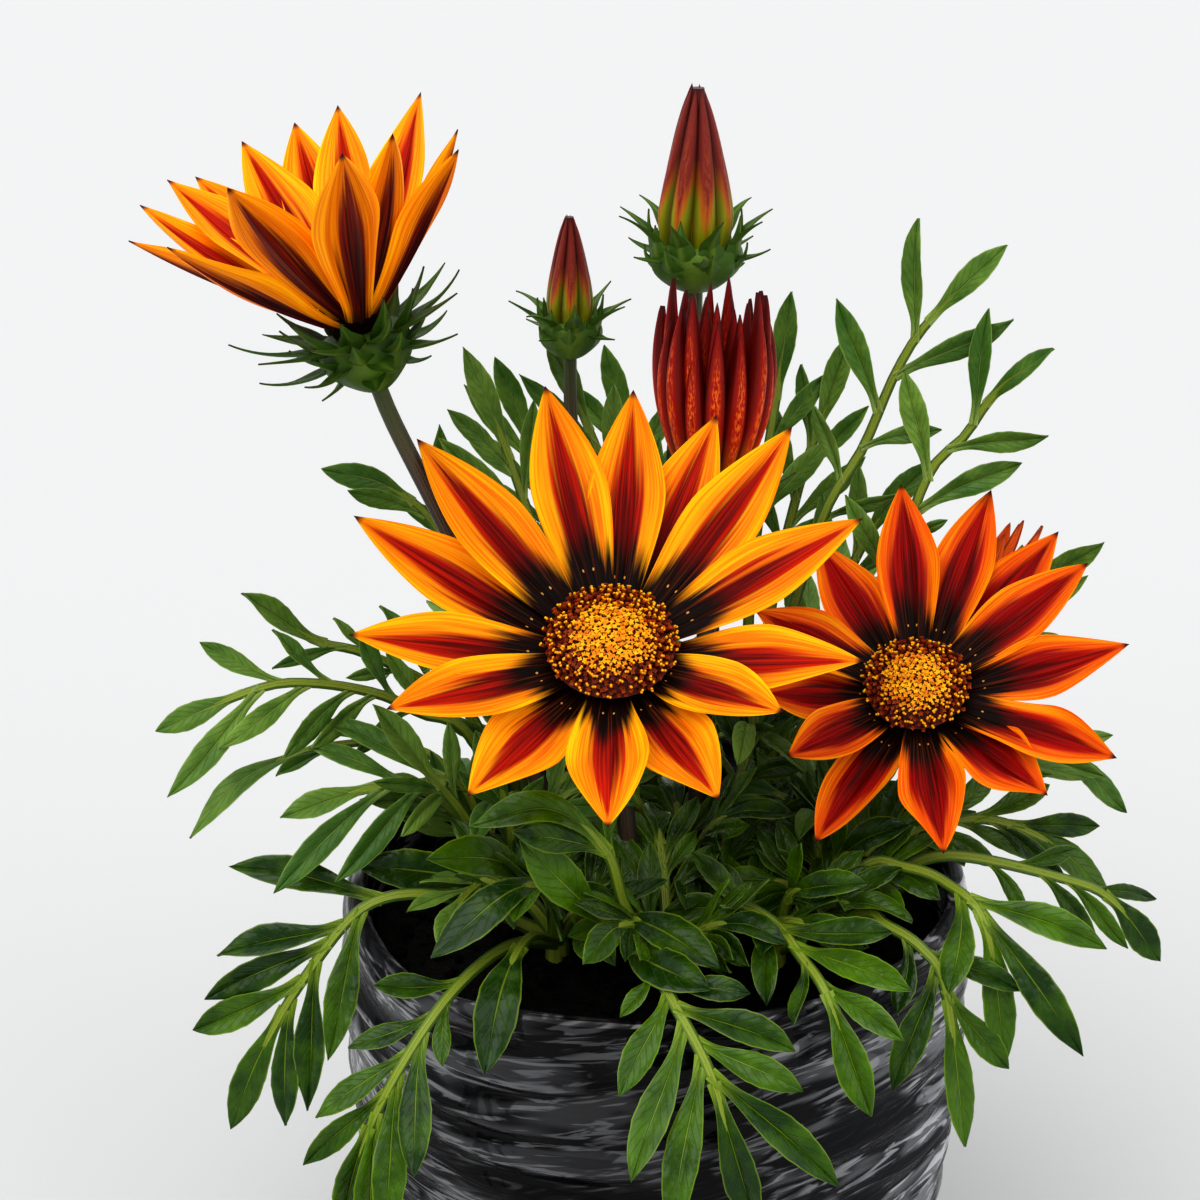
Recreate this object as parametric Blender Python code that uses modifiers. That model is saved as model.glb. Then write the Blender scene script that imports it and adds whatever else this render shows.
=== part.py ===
"""A gazania in flower, growing in a glazed pot.

Metres, +Z up, with the origin in the middle of the pot's foot and the plant's best side facing -Y.
Tables are in millimetres and degrees. Each head is a stack along its own axis: ray florets on a
plate, a domed disc on top, and a green involucre on its scape below. The pinnate leaves grow from
short shoots, one node for each shoot. Scapes and shoots stand in plain holes in the soil.
"""

import math
from dataclasses import dataclass

import bmesh
import bpy
import numpy as np
from mathutils import Matrix, Vector

MM = 0.001
GAP = 0.3
OBJECT_NAME = "gazania"

# Pot and soil
POT_HEIGHT = 112.0
RIM_RADIUS = 60.0
BELLY_RADIUS = 61.2
FOOT_RADIUS = 51.5
POT_WALL = 4.0
POT_FLOOR = 6.0
POT_SIDES = 32
RIPPLE_ROWS = 10
RIPPLE_DEPTH = 0.45
RIM_DIP = 4.5
RIM_DIP_AZIMUTH = 217.0
RIM_DIP_SPREAD = 26.0
SOIL_TOP = 100.0
SOIL_CROWN = 1.6
SOIL_CRUMB = 0.5

# Leaves
LEAF_THICKNESS = 1.5
LOBE_SHARE = 0.55
RACHIS_HALF_WIDTH = (1.3, 0.8)
LOBE_HALF_WIDTH = 2.7
LOBE_ROWS = {2: ((0.36, 1.0), (0.7, 0.78)), 1: ((0.46, 1.0),)}
LOBE_BOW = 0.14
PETIOLE_STEPS = 2
CROWN_HEIGHT = 104.0
SHOOT_RADIUS = 3.2
SHOOT_ROOT = 88.0

# Florets and bracts
BLADE_THICKNESS = 0.8
RAY_ROWS = 4
LAYER_STEP = 1.5
BRACT_THICKNESS = 0.75
SOLVER = "MANIFOLD"
SCAPE_ROOT = 86.0
SCAPE_POINTS = 8
DISC_SIDES = 20


@dataclass(frozen=True)
class Rays:
    """One whorl of ray florets: how a ray leaves the plate, its size, and where each one stands."""

    root: tuple
    rise: tuple
    length: float
    width: float
    fold: float
    placed: tuple


@dataclass(frozen=True)
class Bracts:
    """The green bracts round a head, in rings of (count, start height, rise, length, width)."""

    radius: float
    rings: tuple


@dataclass(frozen=True)
class Head:
    """A flower head: its centre, axis, florets, disc radius, involucre profile and scape."""

    name: str
    centre: tuple
    axis: tuple
    rays: Rays
    plate: tuple
    disc: float
    cup: tuple
    bracts: Bracts
    scape: tuple
    scape_radius: tuple
    colour: str


@dataclass(frozen=True)
class Leaf:
    """A pinnate leaf: its midrib's route, the way its face looks, and its lobes' lengths and angles."""

    route: tuple
    face: tuple
    right: tuple = ()
    left: tuple = ()
    spread: tuple = (56.0, 56.0)
    bare: float = 0.4
    terminal: float = 20.0
    droop: float = 2.4
    lobe_rows: int = 2
    closing: float = 0.42


@dataclass(frozen=True)
class Shoot:
    """A short leafy stem that stands in the soil."""

    name: str
    crown: tuple
    leaves: tuple


def whorl(count, first, layers):
    """Places for an even whorl: (azimuth, length factor, layer), the layers taken in turn."""
    step = 360.0 / count
    return tuple((first + i * step, 1.0, layers[i % len(layers)]) for i in range(count))


HEADS = (
    Head(
        name="main_bloom",
        centre=(-9, -26, 168),
        axis=(0, -0.545, 0.839),
        rays=Rays(
            root=(4.0, -1.6),
            rise=(10, 24),
            length=47,
            width=14.6,
            fold=1.2,
            placed=(
                (24, 1.0, 0), (50, 1.07, 1), (67, 1.0, 2), (84, 1.02, 1), (104, 1.06, 0),
                (132, 1.06, 1), (154, 1.02, 2), (183, 0.9, 1), (207, 0.86, 0), (235, 0.8, 1),
                (268, 0.82, 0), (298, 0.74, 1), (329, 0.67, 0), (351, 0.87, 1),
            ),
        ),
        plate=(6.8, 4.8),
        disc=11.8,
        cup=((8.4, 0.0), (8.8, -3.0), (7.6, -7.0), (4.4, -10.5), (2.0, -13.0)),
        bracts=Bracts(radius=7.0, rings=((9, -3.0, (-4, 30), 12, 2.6), (5, -6.5, (-30, 20), 8, 2.6))),
        scape=((-5, -10, 98), (-5.5, -9, 120), (-7.5, -9.5, 138)),
        scape_radius=(1.9, 1.6),
        colour="Ray orange",
    ),
    Head(
        name="right_bloom",
        centre=(49, -1, 149),
        axis=(-0.12, -0.565, 0.816),
        rays=Rays(
            root=(3.6, -1.5),
            rise=(8, 18),
            length=40,
            width=12.2,
            fold=1.1,
            placed=(
                (4, 0.92, 1), (33, 0.94, 0), (47, 0.98, 2), (68, 1.04, 1), (89, 1.0, 0),
                (119, 0.84, 1), (150, 0.78, 0), (180, 0.66, 1), (212, 0.66, 0), (238, 0.88, 1),
                (272, 0.86, 0), (310, 0.74, 1), (330, 0.94, 0),
            ),
        ),
        plate=(6.2, 4.7),
        disc=9.8,
        cup=((7.4, 0.0), (7.8, -2.6), (6.6, -6.0), (3.8, -9.4), (1.9, -11.5)),
        bracts=Bracts(radius=6.2, rings=((9, -2.8, (-4, 30), 11, 2.4), (5, -6.0, (-30, 20), 7, 2.4))),
        scape=((35, 2, 98), (37, 6, 112), (44, 13, 126)),
        scape_radius=(1.7, 1.5),
        colour="Ray red orange",
    ),
    Head(
        name="half_open_bloom",
        centre=(-55, 0.5, 222),
        axis=(-0.31, 0.04, 0.95),
        rays=Rays(
            root=(3.6, -0.6),
            rise=(37, 49),
            length=45.5,
            width=12.4,
            fold=1.6,
            placed=(
                (-7, 0.8, 0), (60, 1.04, 1), (83, 1.03, 0), (99, 1.06, 1), (113, 1.0, 0),
                (126, 1.0, 1), (141, 0.98, 0), (158, 0.94, 1), (202, 0.86, 0), (227, 0.84, 1),
                (260, 1.06, 0), (289, 1.14, 1), (308, 1.0, 0), (330, 0.86, 1),
            ),
        ),
        plate=(5.8, 3.6),
        disc=4.4,
        cup=((7.6, 0.0), (8.4, -2.6), (7.6, -6.0), (4.8, -9.0), (2.0, -11.0)),
        bracts=Bracts(
            radius=7.4,
            rings=((10, -1.4, (10, 30), 15, 2.8), (7, -4.6, (-14, 22), 13, 2.8), (4, -7.0, (-35, 0), 7, 2.8)),
        ),
        scape=((-17, 0, 98), (-21, 0, 122), (-34, 0, 168)),
        scape_radius=(1.8, 1.5),
        colour="Ray orange",
    ),
    Head(
        name="dark_head",
        centre=(10.5, 21, 186),
        axis=(0.03, 0.04, 1),
        rays=Rays(
            root=(5.0, -0.8),
            rise=(62, 96),
            length=36,
            width=5.2,
            fold=0.9,
            placed=whorl(14, 4.0, (0, 1)),
        ),
        plate=(7.4, 3.6),
        disc=0.0,
        cup=((8.6, 0.0), (9.2, -3.0), (8.0, -7.0), (4.8, -10.5), (2.0, -13.0)),
        bracts=Bracts(radius=7.8, rings=((9, -2.4, (20, 50), 10, 2.4),)),
        scape=((8, 14, 98), (9, 16, 130), (10, 19, 156)),
        scape_radius=(1.9, 1.7),
        colour="Ray dark red",
    ),
    Head(
        name="small_head",
        centre=(62, 33, 149),
        axis=(0.34, 0.1, 0.93),
        rays=Rays(
            root=(1.6, -0.4),
            rise=(62, 90),
            length=25,
            width=5.2,
            fold=1.2,
            placed=whorl(7, 10.0, (0, 1)),
        ),
        plate=(3.4, 2.6),
        disc=0.0,
        cup=((4.6, 0.0), (5.0, -2.0), (4.4, -5.0), (1.6, -8.0)),
        bracts=Bracts(radius=4.2, rings=((7, -1.4, (10, 50), 8, 2.0),)),
        scape=((36, 28, 98), (42, 30, 115), (54, 32, 131)),
        scape_radius=(1.5, 1.3),
        colour="Ray orange",
    ),
)


@dataclass(frozen=True)
class Bud:
    """A closed bud: a fluted cone of rolled rays on an involucre and a scape."""

    name: str
    base: tuple
    cone: tuple
    ridges: int
    cup: tuple
    bracts: Bracts
    scape: tuple
    scape_radius: tuple


BUDS = (
    Bud(
        name="tall_bud",
        base=(8, 52, 222.5),
        cone=((0.0, 31.0), (1.6, 28.5), (3.6, 22.0), (6.2, 11.0), (7.4, 4.0), (6.6, 0.0)),
        ridges=8,
        cup=((8.0, 0.0), (9.2, -2.4), (8.4, -5.6), (5.4, -8.4), (1.9, -10.0)),
        bracts=Bracts(
            radius=7.8,
            rings=((9, -1.4, (62, 24), 11, 2.4), (6, -3.6, (10, 30), 9, 2.6), (3, -5.6, (-20, 40), 6, 3.0)),
        ),
        scape=((12, 34, 98), (12, 38, 140), (9, 50, 190)),
        scape_radius=(1.8, 1.6),
    ),
    Bud(
        name="small_bud",
        base=(-17, 58, 205),
        cone=((0.0, 21.5), (1.2, 19.5), (2.6, 14.0), (4.2, 6.5), (4.6, 2.0), (4.0, 0.0)),
        ridges=7,
        cup=((5.4, 0.0), (6.4, -2.0), (6.0, -4.4), (4.0, -6.6), (1.6, -8.0)),
        bracts=Bracts(
            radius=5.4,
            rings=((8, -1.2, (50, 16), 9, 2.0), (4, -3.0, (0, 24), 7, 2.2)),
        ),
        scape=((-12, 40, 98), (-13, 46, 135), (-16.5, 56, 178)),
        scape_radius=(1.6, 1.3),
    ),
)

CAMERA_SIDE = (0, -0.75, 0.66)
UPWARD = (0, -0.3, 0.95)
SHOOTS = (
    Shoot("shoot_left_front", (-19, -17), (
        Leaf(((-38, -17, 113), (-54, -20, 113.5), (-66, -25, 101), (-75, -29, 86), (-81, -31, 71)),
             CAMERA_SIDE, right=(24, 19, 20, 20), left=(20, 20, 20), spread=(56, 58), terminal=24),
        Leaf(((-28, -30, 110), (-37, -46, 110.5), (-46, -56, 101), (-53, -60, 87), (-57, -61, 72)),
             CAMERA_SIDE, right=(14, 13, 15, 14), left=(10, 20, 23, 18), spread=(54, 46), terminal=18),
        Leaf(((-24, -32, 113), (-28, -50, 114), (-31, -61, 103)), (0, -0.5, 0.86), bare=0.5, terminal=26),
        Leaf(((-20, -28, 120), (-27, -36, 125), (-41, -44, 116)), CAMERA_SIDE, bare=0.5, terminal=26),
        Leaf(((-21, -20, 116), (-30, -28, 127), (-42, -35, 131)), CAMERA_SIDE, bare=0.4, terminal=24),
        Leaf(((-26, -13, 112), (-41, -13, 116), (-57, -15, 119)), CAMERA_SIDE, bare=0.4, terminal=26),
    )),
    Shoot("shoot_left", (-30, 0), (
        Leaf(((-37, -2, 128.5), (-46, -5, 131), (-55, -8, 131.5), (-71, -13, 128)), CAMERA_SIDE,
             right=(12, 20, 16), left=(13, 17, 22), spread=(80, 84), closing=0.6, terminal=17),
        Leaf(((-40, 5, 128), (-50, 6, 134), (-61, 3, 135.5), (-70, 0, 134.5), (-80, -5, 131), (-89, -9, 121.5)),
             UPWARD, right=(11,), left=(11,), bare=0.5, terminal=28),
        Leaf(((-36, -4, 122), (-44, -8, 136), (-53, -10, 150)), CAMERA_SIDE,
             right=(12,), left=(12,), bare=0.5, lobe_rows=1),
        Leaf(((-28, -5, 120), (-30, -10, 134), (-34, -13, 146)), CAMERA_SIDE,
             right=(11,), left=(11,), bare=0.5, terminal=18, lobe_rows=1),
    )),
    Shoot("shoot_left_back", (-26, 22), (
        Leaf(((-37, 17, 131), (-46, 14, 137), (-54, 9, 143.5), (-66, 3, 148.5), (-76, -1, 149), (-94, -9, 144)),
             CAMERA_SIDE, right=(10, 9, 14), left=(9, 12, 13, 19), spread=(66, 72), closing=0.35, terminal=16),
        Leaf(((-37, 24, 132), (-47, 22, 141), (-58, 18, 148.5), (-67, 14, 153), (-79, 8, 165)),
             CAMERA_SIDE, right=(17, 9), left=(9, 10), bare=0.46, terminal=19),
        Leaf(((-33, 34, 135), (-42, 39, 163), (-52, 36, 176), (-66, 34, 181)), CAMERA_SIDE,
             right=(14, 16), left=(14, 14), bare=0.55, terminal=18, lobe_rows=1),
    )),
    Shoot("shoot_back", (0, 38), (
        Leaf(((-10, 33, 128), (-22, 38, 160), (-31, 42, 186), (-38, 44, 203)), CAMERA_SIDE,
             right=(14, 16, 14), left=(14, 18, 14), bare=0.5, terminal=22),
        Leaf(((0, 56, 125), (-3, 68, 155), (-6, 76, 178), (-10, 80, 193)), CAMERA_SIDE,
             right=(16, 18, 16), left=(16, 18, 16), bare=0.55, spread=(66, 66), lobe_rows=1),
        Leaf(((-12, 53, 130), (-21, 63, 158), (-27, 69, 178), (-33, 71, 193)), CAMERA_SIDE,
             right=(15, 17, 15), left=(15, 17, 15), bare=0.6, spread=(66, 66), lobe_rows=1),
        Leaf(((-18, 58, 122), (-36, 68, 130), (-50, 73, 128), (-60, 76, 116)), UPWARD,
             right=(16, 18, 14), left=(16, 18, 14), bare=0.45, lobe_rows=1),
    )),
    Shoot("shoot_back_right", (22, 28), (
        Leaf(((25, 34, 135), (33, 33, 170), (41, 35, 185), (47, 35, 201), (53, 33, 212), (66, 30, 227)),
             CAMERA_SIDE, right=(12, 13, 19), left=(14, 19, 18), spread=(76, 78), bare=0.5, terminal=19),
        Leaf(((28, 46, 122), (40, 60, 138), (52, 70, 144), (62, 78, 136)), UPWARD,
             right=(16, 18, 14), left=(16, 18, 14), bare=0.45, lobe_rows=1),
        Leaf(((24, 48, 138), (30, 55, 168), (36, 57, 188), (40, 57, 202)), CAMERA_SIDE,
             right=(14, 16, 14), left=(14, 16, 14), bare=0.5, lobe_rows=1),
    )),
    Shoot("shoot_right", (36, 14), (
        Leaf(((42, 24, 138), (52, 29, 178), (60, 28, 190), (65, 26, 199), (74, 19, 210)), CAMERA_SIDE,
             right=(16, 15, 16), left=(14, 17), spread=(70, 66), bare=0.5, terminal=16),
        Leaf(((53, 20, 116), (66, 34, 134), (78, 45, 150), (92, 43, 162)), CAMERA_SIDE,
             right=(14, 14), left=(12, 14), bare=0.62, lobe_rows=1),
        Leaf(((52, 20, 118), (70, 24, 124), (84, 24, 122), (96, 20, 112)), UPWARD,
             right=(14, 16, 14), left=(14, 16, 14), bare=0.45, lobe_rows=1),
    )),
    Shoot("shoot_right_side", (33, -10), (
        Leaf(((46, -4, 118), (62, 0, 121), (76, -2, 117), (88, -5, 107)), CAMERA_SIDE,
             right=(12, 13, 12), left=(14, 14, 14), spread=(54, 46), terminal=20),
        Leaf(((44, -13, 115), (55, -14, 120.5), (77, -14, 115.5), (87, -13, 110), (97, -13, 97)), CAMERA_SIDE,
             right=(9, 11, 11), left=(10, 10), spread=(64, 50), bare=0.45, terminal=17),
        Leaf(((34, -12, 117), (39, -14, 124), (47, -16, 128)), CAMERA_SIDE,
             right=(10,), left=(10,), bare=0.5, terminal=16, lobe_rows=1),
    )),
    Shoot("shoot_right_front", (22, -20), (
        Leaf(((38, -18, 120), (45, -24, 123.5), (52, -30, 123.5), (58, -40, 120), (62, -47, 96)), CAMERA_SIDE,
             right=(19,), left=(20, 24), spread=(65, 82), closing=0.85, bare=0.6, terminal=25),
        Leaf(((37, -28, 116), (41, -33, 116.5), (47, -39, 115), (51, -44, 109), (55, -51, 81)), CAMERA_SIDE,
             right=(13, 17), left=(14, 15), spread=(76, 50), closing=0.35, bare=0.45, terminal=25),
        Leaf(((24, -26, 118), (28, -31, 123), (37, -35, 126)), CAMERA_SIDE,
             right=(10,), left=(10,), bare=0.5, terminal=16, lobe_rows=1),
        Leaf(((22, -28, 114), (28, -36, 118), (37, -42, 117)), CAMERA_SIDE,
             right=(9,), left=(9,), bare=0.5, terminal=16, lobe_rows=1),
    )),
    Shoot("shoot_front", (2, -27), (
        Leaf(((-2, -45, 116.5), (1.5, -57, 115.5), (7.5, -67, 108), (11.5, -72, 96.5), (16, -73, 80)), CAMERA_SIDE,
             right=(9, 16, 24, 21), left=(14, 18, 16, 22), spread=(78, 78), closing=0.46, bare=0.36, terminal=25),
        Leaf(((12, -26, 116), (20, -33, 117.5), (25, -45, 116.5), (29, -55, 114), (36, -65, 97)), CAMERA_SIDE,
             right=(14, 11), left=(19, 19, 14), spread=(64, 56), bare=0.35, terminal=20),
        Leaf(((-6, -34, 120), (-10, -37, 134), (-20, -39, 143), (-34, -38, 139)), CAMERA_SIDE,
             right=(12,), left=(16,), bare=0.55, terminal=26),
        Leaf(((-5, -35, 118), (0, -43, 121), (10, -51, 118)), CAMERA_SIDE, bare=0.4, terminal=22),
        Leaf(((-5, -38, 114), (-2, -49, 118), (8, -58, 118)), CAMERA_SIDE, bare=0.4, terminal=22),
        Leaf(((-6, -33, 114), (-14, -38, 124), (-25, -41, 138)), CAMERA_SIDE, bare=0.4, terminal=24),
    )),
    Shoot("shoot_centre", (6, 2), (
        Leaf(((9, -2, 118), (16, -5, 125), (26, -8, 126)), UPWARD,
             right=(12, 12), left=(12, 12), terminal=16, lobe_rows=1),
        Leaf(((16, 8, 124), (21, 13, 144), (24, 15, 158)), CAMERA_SIDE,
             right=(13, 13), left=(13, 13), terminal=18, lobe_rows=1),
        Leaf(((-4, 6, 122), (-14, 8, 138), (-22, 10, 150)), CAMERA_SIDE,
             right=(12, 12), left=(12, 12), terminal=16, lobe_rows=1),
    )),
)


def clear_scene():
    for obj in list(bpy.data.objects):
        bpy.data.objects.remove(obj, do_unlink=True)


def new_collection(name):
    collection = bpy.data.collections.new(name)
    bpy.context.scene.collection.children.link(collection)
    return collection


def new_material(name, colour, roughness, metallic=0.0):
    made = bpy.data.materials.new(name)
    made.use_nodes = True
    shader = made.node_tree.nodes["Principled BSDF"]
    shader.inputs["Base Color"].default_value = (*colour, 1.0)
    shader.inputs["Roughness"].default_value = roughness
    shader.inputs["Metallic"].default_value = metallic
    return made


def make_materials():
    return {
        "Black glaze": new_material("Black glaze", (0.012, 0.013, 0.016), 0.12),
        "Potting soil": new_material("Potting soil", (0.02, 0.014, 0.01), 0.95),
        "Leaf green": new_material("Leaf green", (0.035, 0.14, 0.03), 0.4),
        "Bract green": new_material("Bract green", (0.05, 0.13, 0.04), 0.55),
        "Disc yellow": new_material("Disc yellow", (0.75, 0.33, 0.03), 0.6),
        "Ray orange": new_material("Ray orange", (0.85, 0.25, 0.01), 0.45),
        "Ray red orange": new_material("Ray red orange", (0.7, 0.1, 0.01), 0.45),
        "Ray dark red": new_material("Ray dark red", (0.22, 0.01, 0.012), 0.5),
        "Bud maroon": new_material("Bud maroon", (0.24, 0.05, 0.04), 0.5),
    }


def place(obj, collection, material=None):
    collection.objects.link(obj)
    if material is not None:
        obj.data.materials.clear()
        obj.data.materials.append(material)
    return obj


def object_from_bmesh(name, bm):
    mesh = bpy.data.meshes.new(name)
    bm.to_mesh(mesh)
    bm.free()
    return bpy.data.objects.new(name, mesh)


def evaluated_mesh(obj):
    """The mesh of obj with its modifiers, its faces' corners welded."""
    bpy.context.view_layer.update()
    graph = bpy.context.evaluated_depsgraph_get()
    mesh = bpy.data.meshes.new_from_object(obj.evaluated_get(graph))
    bm = bmesh.new()
    bm.from_mesh(mesh)
    bmesh.ops.remove_doubles(bm, verts=bm.verts, dist=1e-7)
    bm.to_mesh(mesh)
    bm.free()
    return mesh


def turned(name, profile, sides, collection):
    """A profile of (radius, height) in mm, down its outer side, turned about Z."""
    mesh = bpy.data.meshes.new(name)
    points = [(radius * MM, 0.0, height * MM) for radius, height in profile]
    mesh.from_pydata(points, [(i, i + 1) for i in range(len(points) - 1)], [])
    obj = place(bpy.data.objects.new(name, mesh), collection)
    screw = obj.modifiers.new("Turn", "SCREW")
    screw.steps = sides
    screw.render_steps = sides
    screw.use_merge_vertices = True
    screw.merge_threshold = 1e-5
    return obj


def baked(obj):
    """Replaces obj's mesh with its evaluated one and drops the modifiers."""
    mesh = evaluated_mesh(obj)
    obj.modifiers.clear()
    old = obj.data
    obj.data = mesh
    bpy.data.meshes.remove(old)
    return obj


def tube(name, points, radii, sides_step, collection):
    """A round stem through points in mm, its radius running from radii[0] to radii[1]."""
    curve = bpy.data.curves.new(name, "CURVE")
    curve.dimensions = "3D"
    curve.bevel_depth = MM
    curve.bevel_resolution = sides_step
    curve.use_fill_caps = True
    spline = curve.splines.new("POLY")
    spline.points.add(len(points) - 1)
    for i, point in enumerate(points):
        share = i / (len(points) - 1)
        spline.points[i].co = (*(Vector(point) * MM), 1.0)
        spline.points[i].radius = radii[0] + (radii[1] - radii[0]) * share
    path = place(bpy.data.objects.new(name, curve), collection)
    mesh = evaluated_mesh(path)
    bpy.data.objects.remove(path)
    return place(bpy.data.objects.new(name, mesh), collection)


def smooth_route(points, count):
    """count points at even steps along a Catmull-Rom curve through points."""
    points = np.array(points, float)
    padded = np.vstack([2 * points[0] - points[1], points, 2 * points[-1] - points[-2]])
    dense = []
    for a, b, c, d in zip(padded, padded[1:], padded[2:], padded[3:]):
        for t in np.linspace(0, 1, 16, endpoint=False):
            dense.append(
                0.5 * (2 * b + (c - a) * t + (2 * a - 5 * b + 4 * c - d) * t**2
                       + (3 * b - a - 3 * c + d) * t**3)
            )
    dense.append(points[-1])
    dense = np.array(dense)
    walked = np.concatenate([[0], np.cumsum(np.linalg.norm(np.diff(dense, axis=0), axis=1))])
    return dense, walked, np.array(
        [[np.interp(s, walked, dense[:, k]) for k in range(3)]
         for s in np.linspace(0, walked[-1], count)]
    )


def along(dense, walked, fractions):
    """Points and unit tangents of the walked curve at these fractions of its length."""
    wanted = np.array(fractions) * walked[-1]
    at = np.array([[np.interp(s, walked, dense[:, k]) for k in range(3)] for s in wanted])
    step = walked[-1] * 0.01
    ahead = np.array([[np.interp(s + step, walked, dense[:, k]) for k in range(3)] for s in wanted])
    behind = np.array([[np.interp(s - step, walked, dense[:, k]) for k in range(3)] for s in wanted])
    tangents = ahead - behind
    return at, tangents / np.linalg.norm(tangents, axis=1)[:, None]


def blade_shape(t):
    """Half-width of a ray floret, as a share of its widest, at fraction t of its length."""
    if t < 0.55:
        s = t / 0.55
        return 0.3 + 0.7 * s * s * (3 - 2 * s)
    return 1.0 - ((t - 0.55) / 0.45) ** 1.7


def blade(name, azimuth, root, rise, length, width, fold, drop, columns, rows, thickness, collection):
    """A blade that leaves the axis at root (radius, height) and climbs from rise[0] to rise[1].

    A flat grid is bent by formula: its middle line follows an arc in the plane of the axis, drop mm
    below it, its sides spread by blade_shape, and its edges stand fold mm over the keel.
    """
    bm = bmesh.new()
    bmesh.ops.create_grid(bm, x_segments=columns, y_segments=rows, size=1.0)
    first = math.radians(rise[0])
    turn = math.radians(rise[1] - rise[0])
    for vert in bm.verts:
        u = vert.co.x
        t = (vert.co.y + 1) / 2
        slope = first + turn * t
        radius = root[0] + length * (math.sin(slope) - math.sin(first)) / turn
        height = root[1] - length * (math.cos(slope) - math.cos(first)) / turn
        half = 0.5 * width * blade_shape(t)
        lift = fold * abs(u) * min(1.0, half * 2 / width) - drop
        vert.co = Vector((
            radius - lift * math.sin(slope),
            u * half,
            height + lift * math.cos(slope),
        )) * MM
    bmesh.ops.remove_doubles(bm, verts=bm.verts, dist=1e-6)
    bmesh.ops.triangulate(bm, faces=bm.faces)
    bmesh.ops.recalc_face_normals(bm, faces=bm.faces)
    bmesh.ops.rotate(bm, verts=bm.verts, matrix=Matrix.Rotation(math.radians(azimuth), 3, "Z"))
    obj = place(object_from_bmesh(name, bm), collection)
    thicken(obj, thickness)
    return obj


def thicken(obj, thickness):
    solidify = obj.modifiers.new("Thickness", "SOLIDIFY")
    solidify.thickness = thickness * MM
    solidify.offset = 0.0
    return solidify


def fused(name, trunk, pieces, collection, material):
    """One body of trunk and every piece rooted in it; the pieces' own objects are removed.

    The exact solver leaves slivers where many thin blades share a root, so the manifold one joins them.
    """
    join = trunk.modifiers.new("Join", "BOOLEAN")
    join.operation = "UNION"
    join.operand_type = "COLLECTION"
    join.collection = pieces
    join.solver = SOLVER
    mesh = evaluated_mesh(trunk)
    bpy.data.objects.remove(trunk)
    for obj in list(pieces.objects):
        bpy.data.objects.remove(obj)
    bpy.data.collections.remove(pieces)
    return place(bpy.data.objects.new(name, mesh), collection, material)


def cylinder(name, radius, low, high, sides, collection, top_radius=None):
    bm = bmesh.new()
    bmesh.ops.create_cone(
        bm, cap_ends=True, segments=sides, radius1=radius * MM,
        radius2=(radius if top_radius is None else top_radius) * MM, depth=(high - low) * MM,
    )
    bmesh.ops.translate(bm, verts=bm.verts, vec=(0, 0, (low + high) / 2 * MM))
    return place(object_from_bmesh(name, bm), collection)


def wall_radius(height):
    """The pot's outer radius without its ripples: a soft belly over a narrower foot."""
    share = height / POT_HEIGHT
    swell = FOOT_RADIUS + (BELLY_RADIUS - FOOT_RADIUS) * math.sin(min(share / 0.8, 1.0) * math.pi / 2)
    shoulder = max(0.0, (share - 0.8) / 0.2)
    return swell - (BELLY_RADIUS - RIM_RADIUS) * shoulder**2


def make_pot(collection, material):
    outer = []
    for row in range(RIPPLE_ROWS + 1):
        height = (POT_HEIGHT - 2.5) * (1 - row / RIPPLE_ROWS)
        wave = RIPPLE_DEPTH * (-1) ** row if 0 < row < RIPPLE_ROWS else 0.0
        outer.append((wall_radius(height) + wave, height))
    inner_foot = wall_radius(POT_FLOOR) - POT_WALL
    inner_rim = RIM_RADIUS - POT_WALL + 0.4
    profile = [
        (0.0, POT_FLOOR),
        (inner_foot - 3.0, POT_FLOOR),
        (inner_foot, POT_FLOOR + 4.0),
        (wall_radius(60.0) - POT_WALL, 60.0),
        (inner_rim, POT_HEIGHT - 3.0),
        (RIM_RADIUS - 2.6, POT_HEIGHT - 0.4),
        (RIM_RADIUS - 1.2, POT_HEIGHT),
    ] + outer + [(0.0, 0.0)]
    pot = baked(turned("pot", profile, POT_SIDES, collection))
    for vert in pot.data.vertices:
        azimuth = math.degrees(math.atan2(vert.co.y, vert.co.x)) % 360
        away = (azimuth - RIM_DIP_AZIMUTH) / RIM_DIP_SPREAD
        near_rim = max(0.0, (vert.co.z / MM - 84.0) / 28.0)
        vert.co.z -= RIM_DIP * MM * near_rim * math.exp(-away * away)
    pot.data.materials.append(material)
    return pot


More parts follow.
